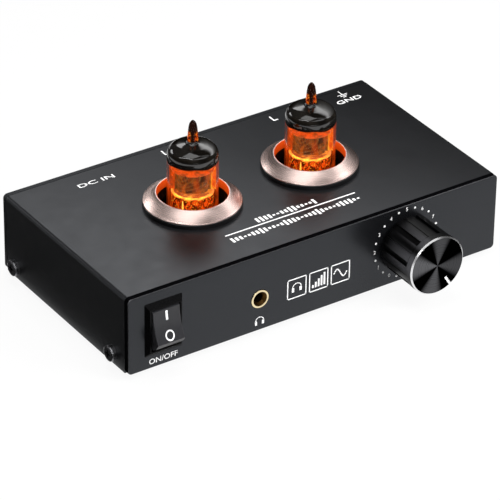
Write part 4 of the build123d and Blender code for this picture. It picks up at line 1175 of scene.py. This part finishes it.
class PREAMP_OT_printing(bpy.types.Operator):
    """Print cover, front plate and rear plate"""

    bl_idname = "preamp.printing"
    bl_label = "Printing"

    def execute(self, context):
        self.cover()
        self.front()
        self.rear()
        return {"FINISHED"}

    def wave(self, x_low, x_high, y_low, y_high, count, seed):
        """A row of upright bars like a sound's level over time."""
        shapes = []
        pitch = (x_high - x_low) / count
        width, lowest = 0.56 * pitch, 0.22
        for i in range(count):
            swell = 0.55 + 0.3 * sin(0.9 * i + seed) + 0.15 * sin(2.3 * i + 2 * seed)
            height = max(lowest, min(1.0, swell)) * (y_high - y_low)
            shapes.append(placed(bar(width, height), on_top(x_low + pitch * (i + 0.5), (y_low + y_high) / 2)))
        return shapes

    def cover(self):
        """Two rows of a sound wave with a rule between them, and the sockets' names along the rear edge."""
        y = FRONT
        shapes = [placed(bar(54.0, 0.55), on_top(0.1, y + 16.9))]
        shapes += self.wave(-12.6, 12.7, y + 17.9, y + 21.5, 15, 0.4)
        shapes += self.wave(-27.0, 26.8, y + 11.5, y + 15.0, 32, 1.7)
        for text, x, height, low, width in (
            ("DC IN", -44.7, 2.3, y + 70.9, 14.5), ("GND", 63.3, 2.4, y + 70.8, 10.5),
            ("L", -13.6, 3.2, y + 74.3, None), ("R", 1.4, 3.2, y + 74.3, None),
            ("L", 32.5, 3.4, y + 73.8, None), ("R", 47.5, 3.4, y + 73.8, None),
        ):
            shapes.append(placed(lettering(text, height, width), on_top(x, low + height / 2)))
        shapes.append(placed(earth_sign(), on_top(63.3, y + 76.4)))
        finished("cover_print", gathered(shapes), (ink_finish("cover ink"),), "top_cover")

    def front(self):
        """The switch's and the headphone outlet's signs, and three boxed signs between them and the dial."""
        box_z, box_side, line = CASE_LOW + 12.0, 8, 0.4
        reach = (box_side - line) / 2
        boxes = [-8.4 + 9.1 * i for i in range(3)]
        shapes = [
            placed(lettering("ON/OFF", 2.1, 11.4, 0.09), on_front(-62.7, CASE_LOW + 2.66)),
            placed(headphone_sign(0.95), on_front(-23.7, CASE_LOW + 3.6)),
        ]
        for x in boxes:
            for sign in (1, -1):
                shapes.append(placed(bar(box_side, line, 0, sign * reach), on_front(x, box_z)))
                shapes.append(placed(bar(line, box_side, sign * reach, 0), on_front(x, box_z)))
        shapes.append(placed(headphone_sign(1.05), on_front(boxes[0], box_z)))
        bars, pitch, foot = 5, 1.2, -2.5
        for i in range(bars):
            height = 1.2 + 0.95 * i
            rising = bar(0.7, height, pitch * (i - (bars - 1) / 2), foot + height / 2)
            shapes.append(placed(rising, on_front(boxes[1], box_z)))
        steps, width, swing = 14, 5.6, 1.7
        for i in range(steps):
            share = (i + 0.5) / steps
            step = bar(0.62, 0.5)
            tilt = Matrix.Rotation(0.9 * cos(FULL_TURN * share), 3, "Z")
            bmesh.ops.rotate(step, matrix=tilt, verts=step.verts)
            spot = (width * (share - 0.5), swing * sin(FULL_TURN * share), 0)
            bmesh.ops.translate(step, vec=spot, verts=step.verts)
            shapes.append(placed(step, on_front(boxes[2], box_z)))
        finished("front_print", gathered(shapes), (ink_finish("front ink"),), "front_panel")

    def rear(self):
        """Channel letters and inlet above the sockets, their groups below, and the earth sign."""
        above, below = middle("jack_contacts").z + 8.6, CASE_LOW + 4.0
        shapes = []
        for text, x, z, height in (
            ("R", -13.598, above, 2.2), ("L", 1.402, above, 2.2), ("R", 32.5, above, 2.2), ("L", 47.5, above, 2.2),
            ("DC", -44.716, above, 2.2), ("OUT", -6.098, below, 1.9), ("IN", 40.0, below, 1.9),
        ):
            shapes.append(placed(lettering(text, height), on_rear(x, z)))
        shapes.append(placed(earth_sign(), on_rear(63.3, CASE_LOW + 25.5)))
        finished("rear_print", gathered(shapes), (ink_finish("rear ink"),), "rear_panel")


# ---- Stage

class PREAMP_OT_stage(bpy.types.Operator):
    """Set floor, light and camera"""

    bl_idname = "preamp.stage"
    bl_label = "Stage"

    def execute(self, context):
        self.scene = context.scene
        self.scene.view_settings.view_transform = "Standard"
        self.floor()
        self.surroundings()
        self.cards()
        self.lights()
        self.camera()
        return {"FINISHED"}

    def seen(self, nodes, *looks):
        """One where the camera or one of these kinds of ray looks, else zero."""
        path = nodes.add("ShaderNodeLightPath")
        return nodes.maths("MAXIMUM", *(path.outputs[f"Is {look} Ray"] for look in ("Camera", *looks)))

    def floor(self):
        """Wide white floor that keeps a faint shadow."""
        bm = bmesh.new()
        bmesh.ops.create_grid(bm, x_segments=8, y_segments=8, size=2.5)
        bmesh.ops.translate(bm, vec=(0, 0, -0.02 * MM), verts=bm.verts)
        mesh = bpy.data.meshes.new("floor")
        bm.to_mesh(mesh)
        bm.free()
        material = bpy.data.materials.new("floor")
        material.use_nodes = True
        nodes = Nodes(material.node_tree)
        nodes.tree.nodes.remove(nodes.tree.nodes["Principled BSDF"])
        matt = nodes.feed(nodes.add("ShaderNodeBsdfDiffuse"), {"Color": (0.78, 0.78, 0.78)})
        white = nodes.feed(nodes.add("ShaderNodeEmission"), {"Strength": 1.0})
        share = nodes.maths("MULTIPLY", self.seen(nodes, "Glossy", "Transmission"), 0.93)
        surface = nodes.feed(nodes.add("ShaderNodeMixShader"), {0: share, 1: matt, 2: white})
        nodes.join(surface, nodes.tree.nodes["Material Output"].inputs["Surface"])
        mesh.materials.append(material)
        floor = bpy.data.objects.new("floor", mesh)
        self.scene.collection.objects.link(floor)

    def surroundings(self):
        """White all round for the eye, a dim room for light and gloss."""
        world = bpy.data.worlds.new("surroundings")
        world.use_nodes = True
        nodes = Nodes(world.node_tree)
        glossy = nodes.add("ShaderNodeLightPath").outputs["Is Glossy Ray"]
        room = nodes.span(glossy, 0, 1, self.scene.preamp_stage.fill, self.scene.preamp_stage.room)
        strength = nodes.span(self.seen(nodes, "Transmission"), 0, 1, room, 1)
        nodes.feed(nodes.tree.nodes["Background"], {"Color": (1, 1, 1), "Strength": strength})
        self.scene.world = world

    def cards(self):
        """Dim and bright cards outside the picture, seen by gloss alone; their places are in metres."""
        dim = self.glow("dim card", 0.05)
        self.card("flag_floor_left", (0.092, 0.5), Matrix.Translation((-0.125, 0.12, 0.0003)), dim)
        self.card("flag_floor_right", (0.3, 0.34), Matrix.Translation((0.23, 0.135, 0.0003)), dim)
        self.bow("ribbon", 24, 9.0, (
            (-446, 132, 354), (-390, -6, 442), (-292, -149, 497), (-242, -308, 442), (-187, -495, 206)))
        self.bow("strip_right", 6, 3.5, ((104, -26, 80), (104, -43, 108), (104, -62, 132)))
        for name, toward, distance, size, light in (
            ("soft_above_right", (0.55, -0.25, 0.80), 0.62, (0.40, 0.36), 0.5),
            ("soft_window", (0.0, -0.66, 0.66), 0.62, (0.80, 0.16), 1.3),
            ("soft_above", (-0.17, -0.06, 0.95), 0.56, (0.38, 0.42), 1.7),
            ("soft_front", (-0.23, -0.92, 0.29), 0.6, (0.36, 0.14), 2.4),
            ("soft_back", (-0.40, 0.84, 0.30), 0.55, (0.22, 0.13), 3.6),
        ):
            toward = Vector(toward).normalized()
            place = Matrix.Translation(Vector((0, 0, 0.05)) + distance * toward)
            turn = toward.to_track_quat("Z", "Y").to_matrix().to_4x4()
            self.card(name, size, place @ turn, self.glow(name, light))
        upright = Matrix.Rotation(pi / 2, 4, "Z") @ Matrix.Rotation(pi / 2, 4, "X")
        self.card("soft_right", (0.76, 0.6), Matrix.Translation((0.105, 0.32, 0.3)) @ upright, self.slope())

    def card(self, name, size, place, finish):
        """A flat card."""
        bm = bmesh.new()
        bmesh.ops.create_grid(bm, x_segments=1, y_segments=1, size=0.5)
        self.hung(name, placed(bm, place @ Matrix.Diagonal((*size, 1, 1))), finish)

    def bow(self, name, width, light, points):
        """A long bent card through these points, in millimetres."""
        bm = bmesh.new()
        rows = []
        for index, point in enumerate(points):
            run = Vector(points[min(index + 1, len(points) - 1)]) - Vector(points[max(index - 1, 0)])
            side = run.cross(Vector(point)).normalized() * width / 2
            rows.append([bm.verts.new((Vector(point) + sign * side) * MM) for sign in (-1, 1)])
        for first, second in zip(rows, rows[1:]):
            bm.faces.new((first[0], first[1], second[1], second[0]))
        self.hung(name, bm, self.glow(name, light))

    def hung(self, name, bm, finish):
        """Hang a card where gloss alone sees it."""
        mesh = bpy.data.meshes.new(name)
        bm.to_mesh(mesh)
        bm.free()
        mesh.materials.append(finish.material)
        card = bpy.data.objects.new(name, mesh)
        self.scene.collection.objects.link(card)
        card.visible_camera = False
        card.visible_diffuse = False
        card.visible_shadow = False
        card.visible_transmission = False

    def glow(self, name, light):
        """Even light over a card."""
        return Finish(name).set(
            base_color=(0, 0, 0), specular_ior_level=0.0, roughness=1.0,
            emission_color=(1, 1, 1), emission_strength=light)

    def slope(self):
        """Light that grows upward and towards the front, which the cover mirrors as its soft gradient."""
        card = self.glow("soft right", 1.0)
        rise = card.maths("EXPONENT", card.maths("ADD", card.along((0, -18.7, 43.2)), -3.56))
        light = card.maths("MINIMUM", card.maths("MULTIPLY", rise, 0.5), 3.1)
        edge = card.span(card.along((0, 1, -1.336)), -0.26, -0.17, smooth=True)
        return card.set(emission_strength=card.maths("MULTIPLY", light, edge))

    def lights(self):
        """Key from the front right and a soft top light; gloss sees the cards instead of them."""
        aim = Vector((0, 0, 0.02))
        for name, spot, size, watts in (
            ("key", (0.30, -0.42, 0.42), (0.35, 0.35), 5.0),
            ("top", (-0.05, 0.0, 0.6), (0.4, 0.3), 3.4),
        ):
            lamp = bpy.data.lights.new(name, "AREA")
            lamp.shape = "RECTANGLE"
            lamp.size, lamp.size_y = size
            lamp.energy = watts
            light = bpy.data.objects.new(name, lamp)
            light.location = spot
            light.rotation_euler = (Vector(spot) - aim).to_track_quat("Z", "Y").to_euler()
            light.visible_camera = False
            light.visible_glossy = False
            self.scene.collection.objects.link(light)

    def camera(self):
        """Long lens from the front left, above."""
        stage = self.scene.preamp_stage
        level = cos(stage.elevation)
        back = Vector((-sin(stage.azimuth) * level, -cos(stage.azimuth) * level, sin(stage.elevation)))
        right = (-back).cross(Vector((0, 0, 1))).normalized()
        up = right.cross(-back)
        across = cos(stage.roll) * right + sin(stage.roll) * up
        above = -sin(stage.roll) * right + cos(stage.roll) * up
        # From the front plate's lower middle, in widths of the case.
        away = -0.1495 * across + 0.135 * above + 8.1871 * back
        spot = (Vector((0, FRONT, CASE_LOW)) + 2 * HALF_CASE * away) * MM
        lens = bpy.data.cameras.new("camera")
        lens.sensor_width = 36
        lens.lens = stage.lens
        lens.clip_start = 0.01
        camera = bpy.data.objects.new("camera", lens)
        camera.matrix_world = Matrix.Translation(spot) @ Matrix((across, above, back)).transposed().to_4x4()
        self.scene.collection.objects.link(camera)
        self.scene.camera = camera


class PREAMP_PT_panel(bpy.types.Panel):
    """Steps of the preamp, in order"""

    bl_idname = "PREAMP_PT_panel"
    bl_label = "Valve phono preamp"
    bl_space_type = "VIEW_3D"
    bl_region_type = "UI"
    bl_category = "Preamp"

    def draw(self, context):
        scene = context.scene
        for group in (scene.preamp_case, scene.preamp_valve, scene.preamp_controls, scene.preamp_stage):
            box = self.layout.box()
            for key in group.__annotations__:
                box.prop(group, key)
        for step in STEPS:
            self.layout.operator(step.bl_idname)


GROUPS = (CaseSettings, ValveSettings, ControlSettings, StageSettings)
STEPS = (
    PREAMP_OT_case, PREAMP_OT_fasteners, PREAMP_OT_board, PREAMP_OT_rings, PREAMP_OT_envelopes,
    PREAMP_OT_valve_insides, PREAMP_OT_volume, PREAMP_OT_switch, PREAMP_OT_headphone_outlet,
    PREAMP_OT_rear_sockets, PREAMP_OT_printing, PREAMP_OT_stage,
)


def register():
    """Makes settings, steps and panel known to Blender."""
    for item in (*GROUPS, *STEPS, PREAMP_PT_panel):
        bpy.utils.register_class(item)
    bpy.types.Scene.preamp_case = bpy.props.PointerProperty(type=CaseSettings)
    bpy.types.Scene.preamp_valve = bpy.props.PointerProperty(type=ValveSettings)
    bpy.types.Scene.preamp_controls = bpy.props.PointerProperty(type=ControlSettings)
    bpy.types.Scene.preamp_stage = bpy.props.PointerProperty(type=StageSettings)


def unregister():
    """Takes them away again."""
    del bpy.types.Scene.preamp_case, bpy.types.Scene.preamp_valve
    del bpy.types.Scene.preamp_controls, bpy.types.Scene.preamp_stage
    for item in reversed((*GROUPS, *STEPS, PREAMP_PT_panel)):
        bpy.utils.unregister_class(item)


def main():
    """Runs every step in order."""
    register()
    for step in (
        bpy.ops.preamp.case, bpy.ops.preamp.fasteners, bpy.ops.preamp.board, bpy.ops.preamp.rings,
        bpy.ops.preamp.envelopes, bpy.ops.preamp.valve_insides, bpy.ops.preamp.volume, bpy.ops.preamp.switch,
        bpy.ops.preamp.headphone_outlet, bpy.ops.preamp.rear_sockets, bpy.ops.preamp.printing, bpy.ops.preamp.stage,
    ):
        step()


if __name__ == "__main__":
    main()
